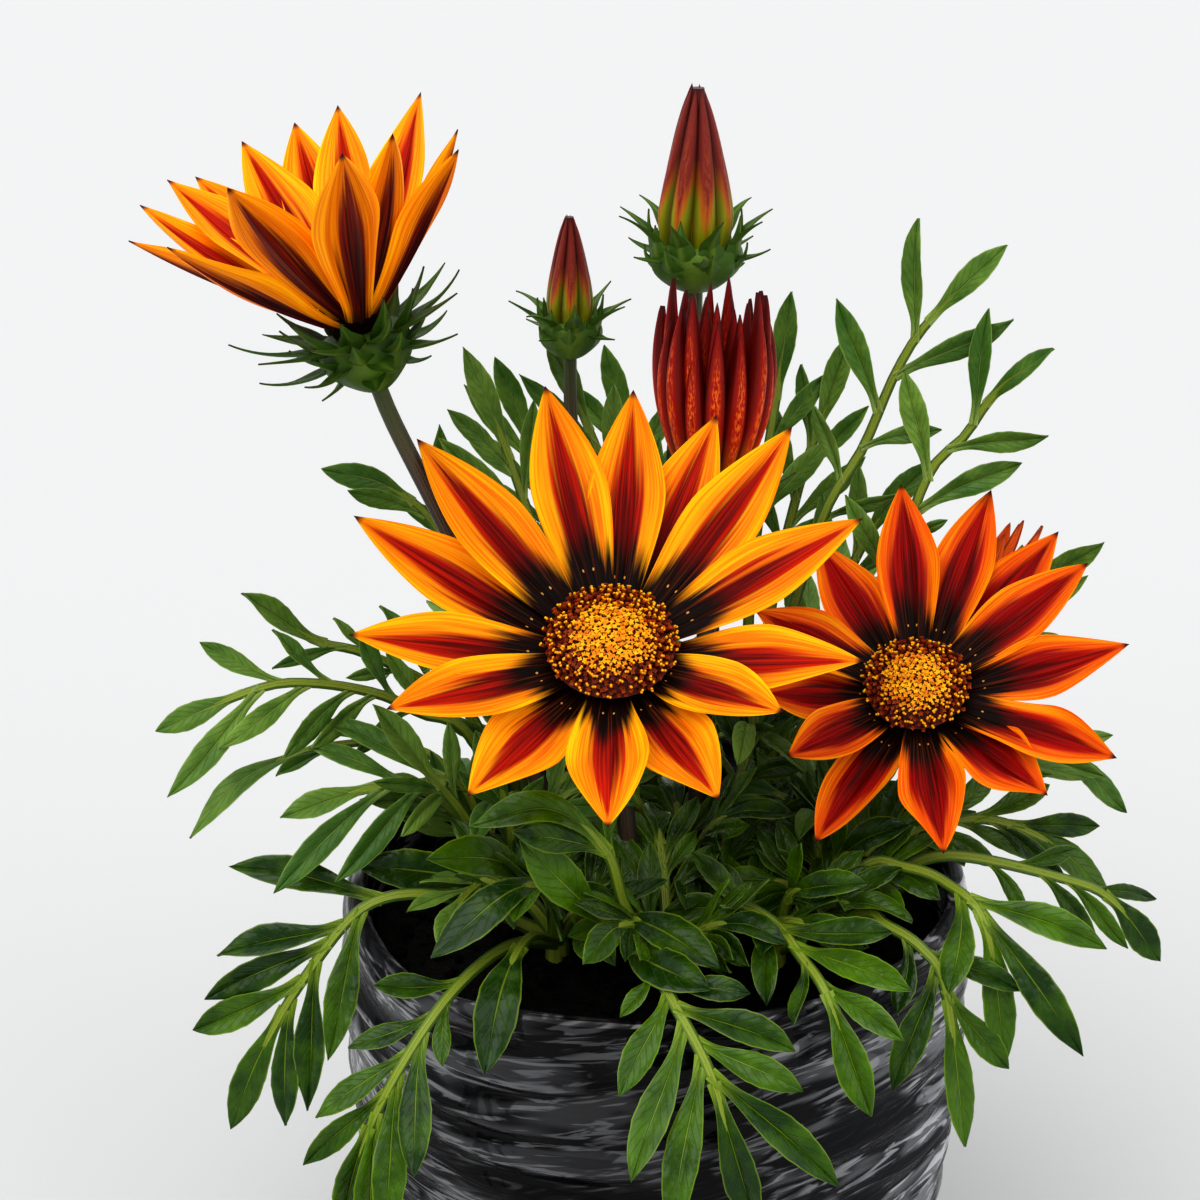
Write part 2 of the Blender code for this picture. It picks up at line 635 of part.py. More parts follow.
def make_soil(holes, collection, material):
    """The soil filling the pot, its top crumbled by formula, with a plain hole for each stem."""
    side = wall_radius(60.0) - POT_WALL - GAP
    inner_foot = wall_radius(POT_FLOOR) - POT_WALL
    top = wall_radius(60.0) - POT_WALL
    at_top = top + (RIM_RADIUS - POT_WALL + 0.4 - top) * (SOIL_TOP - 60.0) / (POT_HEIGHT - 3.0 - 60.0)
    profile = [(0.0, SOIL_TOP + SOIL_CROWN)]
    for share in (0.25, 0.5, 0.75):
        profile.append((share * at_top, SOIL_TOP + SOIL_CROWN * (1 - share**2)))
    profile += [
        (at_top - 3 * GAP, SOIL_TOP - 0.6),
        (side - GAP, 60.0),
        (inner_foot - 2 * GAP, POT_FLOOR + 4.2),
        (inner_foot - 3.2, POT_FLOOR + GAP),
        (0.0, POT_FLOOR + GAP),
    ]
    soil = baked(turned("soil", profile, 20, collection))
    for vert in soil.data.vertices:
        if vert.co.z > SOIL_TOP * MM and vert.co.xy.length > MM:
            azimuth = math.atan2(vert.co.y, vert.co.x)
            vert.co.z += SOIL_CRUMB * MM * math.sin(5 * azimuth + 0.4 * vert.co.xy.length / MM)
    cutters = new_collection("holes")
    for i, (x, y, radius, depth) in enumerate(holes):
        cutter = cylinder(f"hole_{i}", radius, depth, SOIL_TOP + 12, 8, cutters)
        cutter.location = (x * MM, y * MM, 0)
        cutter.hide_render = True
        cutter.display_type = "WIRE"
    cut = soil.modifiers.new("Holes", "BOOLEAN")
    cut.operation = "DIFFERENCE"
    cut.operand_type = "COLLECTION"
    cut.collection = cutters
    baked(soil)
    for cutter in list(cutters.objects):
        bpy.data.objects.remove(cutter)
    bpy.data.collections.remove(cutters)
    soil.data.materials.append(material)
    return soil


def head_frame(centre, axis):
    """The head's own frame: Z along its axis, X to the plant's right."""
    up = Vector(axis).normalized()
    right = Vector((1, 0, 0))
    right = (right - up * right.dot(up)).normalized()
    ahead = up.cross(right)
    frame = Matrix((right, ahead, up)).transposed().to_4x4()
    frame.translation = Vector(centre) * MM
    return frame


def frame_empty(name, frame, collection):
    """An empty at the head's frame, which its pieces are parented to."""
    empty = bpy.data.objects.new(name, None)
    empty.matrix_world = frame
    collection.objects.link(empty)
    bpy.context.view_layer.update()
    return empty


def make_rays(head, collection, materials):
    top = head.rays.root[1] + 0.5 * BLADE_THICKNESS + 0.4
    plate = cylinder(
        f"{head.name}_plate", head.plate[0], top - head.plate[1], top, 16, collection
    )
    pieces = new_collection(f"{head.name} rays")
    for i, (azimuth, share, layer) in enumerate(head.rays.placed):
        blade(
            f"ray_{i}", azimuth, head.rays.root, head.rays.rise, head.rays.length * share,
            head.rays.width, head.rays.fold, layer * LAYER_STEP, 2, RAY_ROWS, BLADE_THICKNESS, pieces,
        )
    return fused(f"{head.name}_rays", plate, pieces, collection, materials[head.colour]), top


def make_disc(head, base, collection, material):
    """The dome of small florets, larger than life as alternate bumps."""
    radius = head.disc
    low = base + GAP
    flare = math.tan(math.radians(head.rays.rise[0] + 6.0))
    shelf = 1.1 + max(0.0, radius - head.plate[0]) * flare
    profile = [
        (0.0, low + shelf + 2.4),
        (radius * 0.3, low + shelf + 2.7),
        (radius * 0.6, low + shelf + 2.4),
        (radius * 0.86, low + shelf + 1.5),
        (radius, low + shelf + 0.3),
        (radius * 0.9, low + shelf - 0.6),
        (0.8 * min(radius, head.plate[0]), low),
        (0.0, low),
    ]
    disc = baked(turned(f"{head.name}_disc", profile, DISC_SIDES, collection))
    for vert in disc.data.vertices:
        away = vert.co.xy.length / MM
        if vert.co.z / MM < low + shelf + 0.1 or away < 0.5:
            continue
        turn = round(math.atan2(vert.co.y, vert.co.x) / (2 * math.pi) * DISC_SIDES)
        ring = round(away / radius * 3.6)
        vert.co.z += (0.45 if (turn + ring) % 2 else -0.35) * MM
    disc.data.materials.append(material)
    return disc


def scape_route(frame, scape, cup_foot):
    """World route of a scape, straight up out of the soil and into the cup along its axis."""
    inverse = frame.inverted()
    root = scape[0]
    below = [(root[0], root[1], SCAPE_ROOT)] + list(scape)
    local = [tuple((inverse @ (Vector(point) * MM)) / MM) for point in below]
    return local + [(0, 0, cup_foot - 6.0), (0, 0, cup_foot + 3.0)]


def make_involucre(name, frame, base, cup, bracts, scape, scape_radius, collection, material):
    """The green cup, its bracts and its scape, fused."""
    profile = [(0.0, base)] + [(radius, base + height) for radius, height in cup]
    profile += [(0.0, base + cup[-1][1])]
    body = baked(turned(f"{name}_cup", profile, 12, collection))
    pieces = new_collection(f"{name} bracts")
    route = scape_route(frame, scape, base + cup[-1][1])
    _, _, points = smooth_route(route, SCAPE_POINTS)
    tube(f"{name}_scape", points, scape_radius, 1, pieces)
    for ring, (count, height, rise, length, width) in enumerate(bracts.rings):
        for i in range(count):
            azimuth = (i + 0.5 * (ring % 2)) * 360.0 / count + 7.0
            reach = length * (1.0 if i % 2 else 0.86)
            blade(
                f"bract_{ring}_{i}", azimuth, (bracts.radius - 1.6 * ring, base + height), rise,
                reach, width, 0.0, 0.0, 1, 2, BRACT_THICKNESS, pieces,
            )
    return fused(f"{name}_involucre", body, pieces, collection, material)


def make_head(head, collection, materials):
    frame = head_frame(head.centre, head.axis)
    empty = frame_empty(head.name, frame, collection)
    rays, top = make_rays(head, collection, materials)
    base = top - head.plate[1] - GAP
    made = [rays, make_involucre(
        head.name, frame, base, head.cup, head.bracts, head.scape, head.scape_radius,
        collection, materials["Bract green"],
    )]
    if head.disc:
        made.append(make_disc(head, top, collection, materials["Disc yellow"]))
    for obj in made:
        obj.parent = empty


def make_bud(bud, collection, materials):
    frame = head_frame(bud.base, (0, 0, 1))
    empty = frame_empty(bud.name, frame, collection)
    cone = baked(turned(f"{bud.name}_petals", bud.cone + ((0.0, 0.0),), 2 * bud.ridges, collection))
    for vert in cone.data.vertices:
        azimuth = math.atan2(vert.co.y, vert.co.x)
        vert.co.xy *= 1.0 - 0.13 * (0.5 - 0.5 * math.cos(bud.ridges * azimuth))
    cone.data.materials.append(materials["Bud maroon"])
    involucre = make_involucre(
        bud.name, frame, -GAP, bud.cup, bud.bracts, bud.scape, bud.scape_radius,
        collection, materials["Bract green"],
    )
    for obj in (cone, involucre):
        obj.parent = empty


def lobe_slots(leaf):
    """Which side each lobe stands on and how long it is, from the leaf's foot to its tip."""
    slots = [((i + 0.25) / len(leaf.right), 1, length) for i, length in enumerate(leaf.right)]
    slots += [((i + 0.75) / len(leaf.left), -1, length) for i, length in enumerate(leaf.left)]
    return sorted(slots)


def leaf_blade(name, leaf, crown, collection):
    """The leaf as one open surface, its lobes sharing their edge with the midrib, then thickened."""
    route = [(0.0, 0.0, 0.0)] + [tuple(np.subtract(point, (*crown, CROWN_HEIGHT))) for point in leaf.route]
    dense, walked, _ = smooth_route(route, 2)
    slots = lobe_slots(leaf)
    tip_share = leaf.terminal / walked[-1]
    stations = np.linspace(0, leaf.bare, PETIOLE_STEPS + 1)
    if slots:
        stations = np.append(stations, np.linspace(leaf.bare, 1 - tip_share, len(slots) + 1)[1:])
    else:
        stations = np.append(stations, 1 - tip_share)
    lobe_rows = LOBE_ROWS[leaf.lobe_rows]
    tip_rows = [1 - tip_share * (1 - t) for t, _ in lobe_rows]
    at, tangents = along(dense, walked, np.concatenate([stations, tip_rows, [1.0]]))
    face = np.array(leaf.face, float)
    normals = face - (tangents @ face)[:, None] * tangents
    normals /= np.linalg.norm(normals, axis=1)[:, None]
    sides = np.cross(tangents, normals)

    bm = bmesh.new()
    weight = bm.verts.layers.deform.verify()

    def vert(point, rib=False):
        made = bm.verts.new(Vector(point) * MM)
        made[weight][0] = 1.0 if rib else 0.0
        return made

    edges = {1: [], -1: []}
    for i in range(len(stations)):
        half = np.interp(stations[i], (0, 1), RACHIS_HALF_WIDTH)
        for side in (1, -1):
            edges[side].append(vert(at[i] + side * half * sides[i], rib=True))
    for i in range(len(stations) - 1):
        bm.faces.new((edges[1][i], edges[1][i + 1], edges[-1][i + 1], edges[-1][i]))

    def fill(low, high, rows, tip):
        for row in rows:
            bm.faces.new((low, high, row[1], row[0]))
            low, high = row
        bm.faces.new((low, high, tip))

    for slot, (share, side, length) in enumerate(slots):
        i = PETIOLE_STEPS + slot
        middle = (at[i] + at[i + 1]) / 2
        tangent, normal = tangents[i], normals[i]
        angle = math.radians(leaf.spread[0 if side > 0 else 1] * (1 - leaf.closing * share))
        ahead = math.cos(angle) * tangent + side * math.sin(angle) * sides[i]
        across = np.cross(normal, ahead)
        across *= np.sign(across @ tangent)

        def spine(t):
            sag = leaf.droop * (length / 20) * t * t
            return middle + length * (t * ahead + LOBE_BOW * t * t * tangent) - np.array((0, 0, sag))

        rows = []
        for t, breadth in lobe_rows:
            half = LOBE_HALF_WIDTH * breadth * min(1.0, length / 18)
            rows.append((vert(spine(t) - half * across), vert(spine(t) + half * across)))
        fill(edges[side][i], edges[side][i + 1], rows, vert(spine(1.0)))

    last = len(stations)
    rows = []
    for k, (_, breadth) in enumerate(lobe_rows):
        half = 1.1 * LOBE_HALF_WIDTH * breadth
        rows.append((vert(at[last + k] + half * sides[last + k]), vert(at[last + k] - half * sides[last + k])))
    fill(edges[1][-1], edges[-1][-1], rows, vert(at[-1]))

    bmesh.ops.triangulate(bm, faces=bm.faces)
    bmesh.ops.recalc_face_normals(bm, faces=bm.faces)
    obj = place(object_from_bmesh(name, bm), collection)
    obj.vertex_groups.new(name="midrib")
    solidify = thicken(obj, LEAF_THICKNESS)
    solidify.vertex_group = "midrib"
    solidify.thickness_vertex_group = LOBE_SHARE
    return obj


def make_shoot(shoot, collection, material):
    """A short stem with its leaves, placed by its crown."""
    stem = cylinder(
        f"{shoot.name}_stem", SHOOT_RADIUS, SHOOT_ROOT - CROWN_HEIGHT, 3.0, 8, collection,
        top_radius=SHOOT_RADIUS * 0.7,
    )
    pieces = new_collection(f"{shoot.name} leaves")
    for i, leaf in enumerate(shoot.leaves):
        leaf_blade(f"leaf_{i}", leaf, shoot.crown, pieces)
    obj = fused(shoot.name, stem, pieces, collection, material)
    obj.location = (shoot.crown[0] * MM, shoot.crown[1] * MM, CROWN_HEIGHT * MM)
    return obj


def smooth_round_faces(collection):
    for obj in collection.objects:
        if obj.type == "MESH":
            obj.data.shade_smooth()
            obj.data.set_sharp_from_angle(angle=math.radians(35))


def main():
    clear_scene()
    plant = new_collection(OBJECT_NAME)
    materials = make_materials()
    make_pot(plant, materials["Black glaze"])
    holes = [(*shoot.crown, SHOOT_RADIUS + GAP + 0.3, SHOOT_ROOT - GAP) for shoot in SHOOTS]
    for stemmed in HEADS + BUDS:
        root = stemmed.scape[0]
        holes.append((root[0], root[1], stemmed.scape_radius[0] + GAP + 0.5, SCAPE_ROOT - GAP))
    make_soil(holes, plant, materials["Potting soil"])
    for head in HEADS:
        make_head(head, plant, materials)
    for bud in BUDS:
        make_bud(bud, plant, materials)
    for shoot in SHOOTS:
        make_shoot(shoot, plant, materials["Leaf green"])
    smooth_round_faces(plant)


main()
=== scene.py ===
"""A gazania in flower in a glazed black pot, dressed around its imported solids.

Metres, +Z up, the plant's best side facing -Y. Tables are in millimetres and degrees. Each fine piece
stands for the plain node of the same place: the pot and the soil, the ray florets, disc and involucre
of each head, the two buds, and the leafy shoots.
"""

import logging
import math
from dataclasses import dataclass
from enum import Enum
from typing import Any

import bpy
import numpy as np
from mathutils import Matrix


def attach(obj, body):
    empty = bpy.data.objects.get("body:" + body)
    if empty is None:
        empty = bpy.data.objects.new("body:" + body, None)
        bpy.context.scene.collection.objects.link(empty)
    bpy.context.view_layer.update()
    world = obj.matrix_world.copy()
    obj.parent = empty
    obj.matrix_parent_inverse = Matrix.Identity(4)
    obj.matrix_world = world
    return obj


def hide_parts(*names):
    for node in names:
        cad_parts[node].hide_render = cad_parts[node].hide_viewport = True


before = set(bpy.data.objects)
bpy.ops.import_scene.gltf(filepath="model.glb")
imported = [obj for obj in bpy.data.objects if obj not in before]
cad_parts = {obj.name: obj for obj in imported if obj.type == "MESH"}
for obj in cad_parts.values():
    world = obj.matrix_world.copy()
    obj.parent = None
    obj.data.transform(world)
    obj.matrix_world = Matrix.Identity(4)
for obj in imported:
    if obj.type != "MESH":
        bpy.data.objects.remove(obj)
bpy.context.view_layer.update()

LOG = logging.getLogger("gazania")
Array = np.ndarray
Chance = np.random.Generator
Looks = dict[str, bpy.types.Material]
MM = 0.001
GAP = 0.3
IMAGE_SIDE = 1200
ROOT_BODY = "root"

# Pot and soil, as in the solids
POT_HEIGHT = 112.0
RIM_RADIUS = 60.0
BELLY_RADIUS = 61.2
FOOT_RADIUS = 51.5
POT_WALL = 4.0
POT_FLOOR = 6.0
RIM_DIP = 4.5
RIM_DIP_AZIMUTH = 217.0
RIM_DIP_SPREAD = 26.0
SOIL_TOP = 100.0
SOIL_CROWN = 1.6

# Leaves, as in the solids
RACHIS_HALF_WIDTH = (1.3, 0.8)
LOBE_HALF_WIDTH = 2.7
LOBE_BOW = 0.14
LOBE_DROOP = 2.4
CROWN_HEIGHT = 104.0
SHOOT_RADIUS = 3.2

# Florets and bracts, as in the solids
PLATE_SKIN = 0.8
LAYER_STEP = 1.5
SCAPE_ROOT = 86.0

# Counts and angles of the fine pieces
LONE_SEED = np.array([0.5])
RAY_ROWS = 30
INNER_LEAVES = 5
GOLDEN_ANGLE = 137.508
SPREAD_LIMIT = 62.0

# Where each group's random draws start
SOIL_DRAWS = 3
SHOOT_DRAWS = 20
HEAD_DRAWS = 50
BUD_DRAWS = 70


def srgb(red: float, green: float, blue: float) -> tuple[float, float, float, float]:
    """A colour picked on a 0 to 255 scale, as the linear colour a shader takes.

    Args:
        red: The red channel.
        green: The green channel.
        blue: The blue channel.

    Returns:
        The three linear channels and an alpha of 1.
    """
    def linear(channel: float) -> float:
        """One channel through the inverse of the display curve."""
        share = channel / 255
        return share / 12.92 if share <= 0.04045 else ((share + 0.055) / 1.055) ** 2.4
    return linear(red), linear(green), linear(blue), 1.0


class Side(Enum):
    """Which side of a blade a finish belongs to."""

    FRONT = 0
    BACK = 1


# Shader arithmetic


class Value:
    """A shader socket that takes part in Python arithmetic."""

    def __init__(self, kit: "Kit", socket: bpy.types.NodeSocket) -> None:
        self.kit = kit
        self.socket = socket

    def __add__(self, other: Any) -> "Value":
        """self + other."""
        return self.kit.maths("ADD", self, other)

    __radd__ = __add__

    def __sub__(self, other: Any) -> "Value":
        """self - other."""
        return self.kit.maths("SUBTRACT", self, other)

    def __rsub__(self, other: Any) -> "Value":
        """other - self."""
        return self.kit.maths("SUBTRACT", other, self)

    def __mul__(self, other: Any) -> "Value":
        """self * other."""
        return self.kit.maths("MULTIPLY", self, other)

    __rmul__ = __mul__

    def __pow__(self, other: Any) -> "Value":
        """self to the power of other."""
        return self.kit.maths("POWER", self, other)

    def size(self) -> "Value":
        """The value without its sign."""
        return self.kit.maths("ABSOLUTE", self)

    def sine(self) -> "Value":
        """The sine of the value in radians."""
        return self.kit.maths("SINE", self)

    def over(self, low: Any, high: Any) -> "Value":
        """0 below low, 1 above high, and a smooth step between them.

        Args:
            low: Where the step starts.
            high: Where it ends.

        Returns:
            The step.
        """
        made = self.kit.node(
            "ShaderNodeMapRange",
            {"interpolation_type": "SMOOTHSTEP"},
            {"Value": self, "From Min": low, "From Max": high},
        )
        return Value(self.kit, made.outputs[0])

    def under(self, low: Any, high: Any) -> "Value":
        """1 below low, 0 above high, and a smooth step between them."""
        return 1 - self.over(low, high)


class Kit:
    """Makes the nodes of one material."""

    def __init__(self, name: str) -> None:
        """Starts a material called name with its one surface shader."""
        self.material = bpy.data.materials.new(name)
        self.material.use_nodes = True
        self.tree = self.material.node_tree
        self.shader = self.tree.nodes["Principled BSDF"]

    def feed(self, socket: bpy.types.NodeSocket, value: Any) -> None:
        """Fills a socket.

        Args:
            socket: The socket.
            value: A Value to link, a plain number, a colour of three numbers from 0 to 255, or a linear
                colour of four numbers.
        """
        if isinstance(value, Value):
            self.tree.links.new(value.socket, socket)
        elif isinstance(value, tuple) and len(value) == 3:
            socket.default_value = srgb(*value)
        else:
            socket.default_value = value

    def node(self, kind: str, settings: dict[str, Any], values: dict[Any, Any]) -> bpy.types.Node:
        """Makes a node.

        Args:
            kind: The node's type.
            settings: Its properties, set first; "stops" fills a colour ramp.
            values: What goes into its sockets, by name or by number.

        Returns:
            The node.
        """
        made = self.tree.nodes.new(kind)
        for key, value in settings.items():
            if key == "stops":
                ramp = made.color_ramp.elements
                while len(ramp) < len(value):
                    ramp.new(0.5)
                for element, (position, colour) in zip(ramp, value):
                    element.position = position
                    element.color = srgb(*colour)
            else:
                setattr(made, key, value)
        for key, value in values.items():
            self.feed(made.inputs[key], value)
        return made

    def maths(self, operation: str, *values: Any) -> Value:
        """One Math node."""
        made = self.node("ShaderNodeMath", {"operation": operation}, dict(enumerate(values)))
        return Value(self, made.outputs[0])

    def mix(self, share: Any, first: Any, second: Any) -> Value:
        """The first colour where share is 0 and the second where it is 1."""
        made = self.node("ShaderNodeMix", {"data_type": "RGBA"}, {0: share, 6: first, 7: second})
        return Value(self, made.outputs[2])

    def ramp(self, share: Any, stops: list[tuple[float, tuple]]) -> Value:
        """A colour from stops of (position, colour)."""
        made = self.node("ShaderNodeValToRGB", {"stops": stops}, {0: share})
        return Value(self, made.outputs[0])

    def across_along(self) -> tuple[Value, Value]:
        """The piece's own UV map: across a blade and along it, each from 0 to 1."""
        made = self.node("ShaderNodeUVMap", {"uv_map": "UVMap"}, {})
        across, along, _ = self.parts(Value(self, made.outputs[0]))
        return across, along

    def parts(self, vector: Value) -> tuple[Value, Value, Value]:
        """A vector's three numbers."""
        x, y, z = self.node("ShaderNodeSeparateXYZ", {}, {0: vector}).outputs
        return Value(self, x), Value(self, y), Value(self, z)

    def seed(self) -> Value:
        """The number from 0 to 1 that each blade, tube or floret has of its own."""
        made = self.node("ShaderNodeAttribute", {"attribute_name": "seed"}, {})
        return Value(self, made.outputs["Fac"])

    def point(self) -> Value:
        """The place on the object, in metres."""
        return Value(self, self.node("ShaderNodeTexCoord", {}, {}).outputs["Object"])

    def vector(self, x: Any, y: Any, z: Any) -> Value:
        """Three numbers as one vector."""
        return Value(self, self.node("ShaderNodeCombineXYZ", {}, {0: x, 1: y, 2: z}).outputs[0])

    def noise(self, vector: Value, scale: float, detail: float = 2.0, distortion: float = 0.0) -> Value:
        """Soft noise from 0 to 1 about one half.

        Args:
            vector: Where the noise is read.
            scale: How many swells lie on a unit of that place.
            detail: How many finer layers are added.
            distortion: How far the swells are bent.

        Returns:
            The noise.
        """
        made = self.node(
            "ShaderNodeTexNoise", {},
            {"Vector": vector, "Scale": scale, "Detail": detail, "Distortion": distortion},
        )
        return Value(self, made.outputs[0])

    def bump(self, height: Value, distance: float, strength: float = 1.0) -> None:
        """Raises the surface.

        Args:
            height: The relief.
            distance: How many metres a relief of 1 stands up.
            strength: How much of it the light sees.
        """
        made = self.node(
            "ShaderNodeBump", {}, {"Height": height, "Distance": distance, "Strength": strength}
        )
        self.feed(self.shader.inputs["Normal"], Value(self, made.outputs[0]))

    def finish(self, **sockets: Any) -> bpy.types.Material:
        """Feeds the shader and gives the material.

        Args:
            sockets: What goes into the shader's sockets, their names written with underscores.

        Returns:
            The material.
        """
        for key, value in sockets.items():
            self.feed(self.shader.inputs[key.replace("_", " ")], value)
        return self.material


# Finishes


@dataclass(frozen=True)
class RayFinish:
    """A ray floret: bright margins, a streaked stripe that narrows to the tip, and a dark foot.

    light and margin are the brightest and the usual colour of the margins, and blush is how much of the
    stripe's colour they take on inwards. stripe_half and foot_reach are shares of the half-width and of
    the length, and dots is the strength of the pale spots above the foot.
    """

    name: str
    light: tuple
    margin: tuple
    stripe: tuple
    deep: tuple
    foot: tuple
    tip: tuple
    stripe_half: float
    foot_reach: float
    dots: float
    # glow is painted light: the ray gives off a share of its own colour, standing in for light that
    # shines through the thin petal.
    glow: float = 0.08
    blush: float = 0.75
    roughness: float = 0.5
    mirror: float = 0.08

    def make(self) -> bpy.types.Material:
        """Builds the material.

        The stripe's edge is a half-width across the blade that shrinks towards the tip and is frayed by
        noise drawn out along the blade. The foot is dark up to a ragged line, lower at the margins.
        """
        kit = Kit(self.name)
        across, along = kit.across_along()
        seed = kit.seed()
        off = (across * 2 - 1).size()
        streak = kit.noise(kit.vector(across * 15, along * 1.3, seed * 37), 1.0, 4.0)
        fine = kit.noise(kit.vector(across * 38, along * 1.6, seed * 53), 1.0, 3.0)
        broad = kit.noise(kit.vector(across * 4, along * 2.0, seed * 71), 1.0, 1.0)
        reach = self.stripe_half * (1 - (along ** 3.0) * 0.9) + (streak - 0.5) * 0.8
        inside = off.under(reach - 0.2, reach + 0.08) * along.under(0.88, 0.99)
        lines = fine.over(0.44, 0.58) * 0.45 + streak.over(0.42, 0.58) * 0.4
        lines = lines + along.over(0.3, 0.8) * 0.55 + off.over(0.1, 0.75) * 0.35 - 0.38
        stripe = kit.mix(lines, self.deep, self.stripe)
        inner = kit.mix(0.55, self.margin, self.stripe)
        # Painted shade: crease darkens the margin towards the stripe's red along a line about two
        # thirds of the way out to each edge.
        crease = (((off - 0.66) * 11) ** 2.0).under(0.0, 1.0) * 0.35
        # shade draws the margins towards the stripe's red inwards and in blotches, which is the petal's
        # own colour, and along the crease, which is painted shade.
        shade = off.under(0.35, 1.0) + fine.over(0.47, 0.6) * 0.5
        shade = (shade + broad.over(0.45, 0.75) * 0.4 + crease) * self.blush
        gleam = broad.over(0.35, 0.6) * 0.55 + fine.under(0.4, 0.56) * 0.55
        gleam = gleam + off.over(0.4, 0.9) * 0.2 - 0.2
        outer = kit.mix(shade, kit.mix(gleam, self.margin, self.light), inner)
        colour = kit.mix(inside, outer, stripe)
        foot_line = self.foot_reach * (1.14 - off * off * 0.38) + (streak - 0.5) * 0.3
        foot_share = along.under(foot_line - 0.1, foot_line + 0.05)
        foot = kit.mix(fine.over(0.52, 0.7) * along.over(0.12, 0.3) * 0.8, self.foot, (104, 40, 4))
        colour = kit.mix(foot_share, colour, foot)
        dot_across = ((off - 0.2) * 24) ** 2.0
        dot_along = ((along - 0.255 - (seed - 0.5) * 0.02) * 130) ** 2.0
        dot = (dot_across + dot_along).under(0.35, 1.0) * self.dots
        colour = kit.mix(dot, colour, (214, 160, 84))
        colour = kit.mix(along.over(0.955, 0.99), colour, self.tip)
        ribs = (across * 44).sine() * 0.18 + fine * 0.5 + streak * 0.4
        kit.bump(ribs, 0.00018, 0.8)
        # The emission of the ray's own colour is painted light shining through the petal.
        return kit.finish(
            Base_Color=colour, Roughness=self.roughness + (fine - 0.5) * 0.12,
            Specular_IOR_Level=self.mirror, Emission_Color=colour, Emission_Strength=self.glow,
        )


@dataclass(frozen=True)
class RollFinish:
    """A rolled ray of a closed head: one colour that turns into another along it, with streaks, and
    painted shade darkening its edges.

    turn holds the three places along the roll where low, middle and high stand. lead is how far the
    middle line runs ahead of the edges, and groove is where the painted shade on the edges starts.
    """

    name: str
    low: tuple
    middle: tuple
    high: tuple
    streak: tuple
    streak_share: float
    turn: tuple
    lead: float = 0.1
    groove: float = 0.72

    def make(self) -> bpy.types.Material:
        """Builds the material: a ramp along the roll, frayed by noise, with streaks on its middle and
        painted shade on its edges.
        """
        kit = Kit(self.name)
        across, along = kit.across_along()
        seed = kit.seed()
        off = (across * 2 - 1).size()
        streak = kit.noise(kit.vector(across * 9, along * 2.6, seed * 37), 1.0, 3.0)
        spots = kit.noise(kit.vector(across * 13, along * 26, seed * 91), 1.0, 3.0)
        place = along + (streak - 0.5) * 0.24 + (0.5 - off) * self.lead
        colour = kit.ramp(place, [
            (self.turn[0], self.low), (self.turn[1], self.middle), (self.turn[2], self.high)
        ])
        line = spots.over(0.45, 0.6) * off.under(0.1, 0.62) * along.under(0.5, 0.95) * self.streak_share
        colour = kit.mix(line, colour, self.streak)
        # Painted shade: the roll's edges darken towards near black, where the grooves between rolls lie
        # in shade.
        edge = off.over(self.groove, 1.0) * 0.92
        colour = kit.mix(edge, colour, kit.mix(0.75, colour, (26, 4, 2)))
        colour = kit.mix(along.over(0.93, 1.0) * 0.6, colour, (58, 28, 30))
        kit.bump((across * 30).sine() * 0.2 + streak * 0.7 + spots * 0.3, 0.00022, 0.8)
        return kit.finish(
            Base_Color=colour, Roughness=0.36 + (spots - 0.5) * 0.15, Specular_IOR_Level=0.2
        )


@dataclass(frozen=True)
class LobeFinish:
    """A leaf's lobe: glossy green with a pale midvein, fine side veins and a pale margin."""

    name: str
    green: tuple
    bright: tuple
    vein: tuple
    roughness: float
    vein_half: float = 0.085

    def make(self) -> bpy.types.Material:
        """Builds the material.

        The midvein is a band about the middle line that narrows towards the tip. Side veins are a sine
        of the place along the lobe less a share of the place across it, so they lean forwards.
        """
        kit = Kit(self.name)
        across, along = kit.across_along()
        seed = kit.seed()
        off = (across * 2 - 1).size()
        cloud = kit.noise(kit.point(), 160.0, 3.0)
        grain = kit.noise(kit.point(), 1500.0, 2.0)
        green = kit.mix((cloud - 0.5) * 1.7 + seed * 0.7, self.green, self.bright)
        side = ((along * 9 - off * 2.1 + seed) * 6.283).sine().over(0.86, 1.0)
        side = side * off.over(0.06, 0.2) * off.under(0.6, 0.95)
        colour = kit.mix(side * 0.08, green, self.vein)
        width = self.vein_half * (1.25 - along)
        vein = off.under(width * 0.4, width * 1.3)
        colour = kit.mix(vein * along.under(0.5, 0.95) * 0.42, colour, self.vein)
        colour = kit.mix(along.under(0.0, 0.24) * 0.6, colour, self.vein)
        colour = kit.mix(off.over(0.88, 0.97) * 0.42, colour, self.vein)
        pucker = kit.noise(kit.point(), 420.0, 1.0)
        kit.bump(0.0 - vein * 0.6 - side * 0.4 + grain * 0.15 + cloud * 1.1 + pucker * 0.9, 0.0004, 0.9)
        return kit.finish(
            Base_Color=colour, Roughness=self.roughness + (cloud - 0.5) * 0.2 + (grain - 0.5) * 0.1,
            Specular_IOR_Level=0.3,
        )


@dataclass(frozen=True)
class RibFinish:
    """A stalk or midrib: a pale streaked middle with greener sides."""

    name: str
    middle: tuple
    edge: tuple
    tip: tuple
    roughness: float

    def make(self) -> bpy.types.Material:
        """Builds the material: edge colour by the place across, tip colour by the place along."""
        kit = Kit(self.name)
        across, along = kit.across_along()
        off = (across * 2 - 1).size()
        streak = kit.noise(kit.vector(across * 14, along * 6, kit.seed() * 31), 1.0, 3.0)
        colour = kit.mix(off.over(0.35, 0.85) + (streak - 0.5) * 0.5, self.middle, self.edge)
        colour = kit.mix(along.over(0.82, 1.0), colour, self.tip)
        grain = kit.noise(kit.point(), 900.0, 2.0)
        kit.bump((across * 36).sine() * 0.3 + streak * 0.6 + grain * 0.3, 0.0002, 0.8)
        return kit.finish(Base_Color=colour, Roughness=self.roughness + (grain - 0.5) * 0.15)


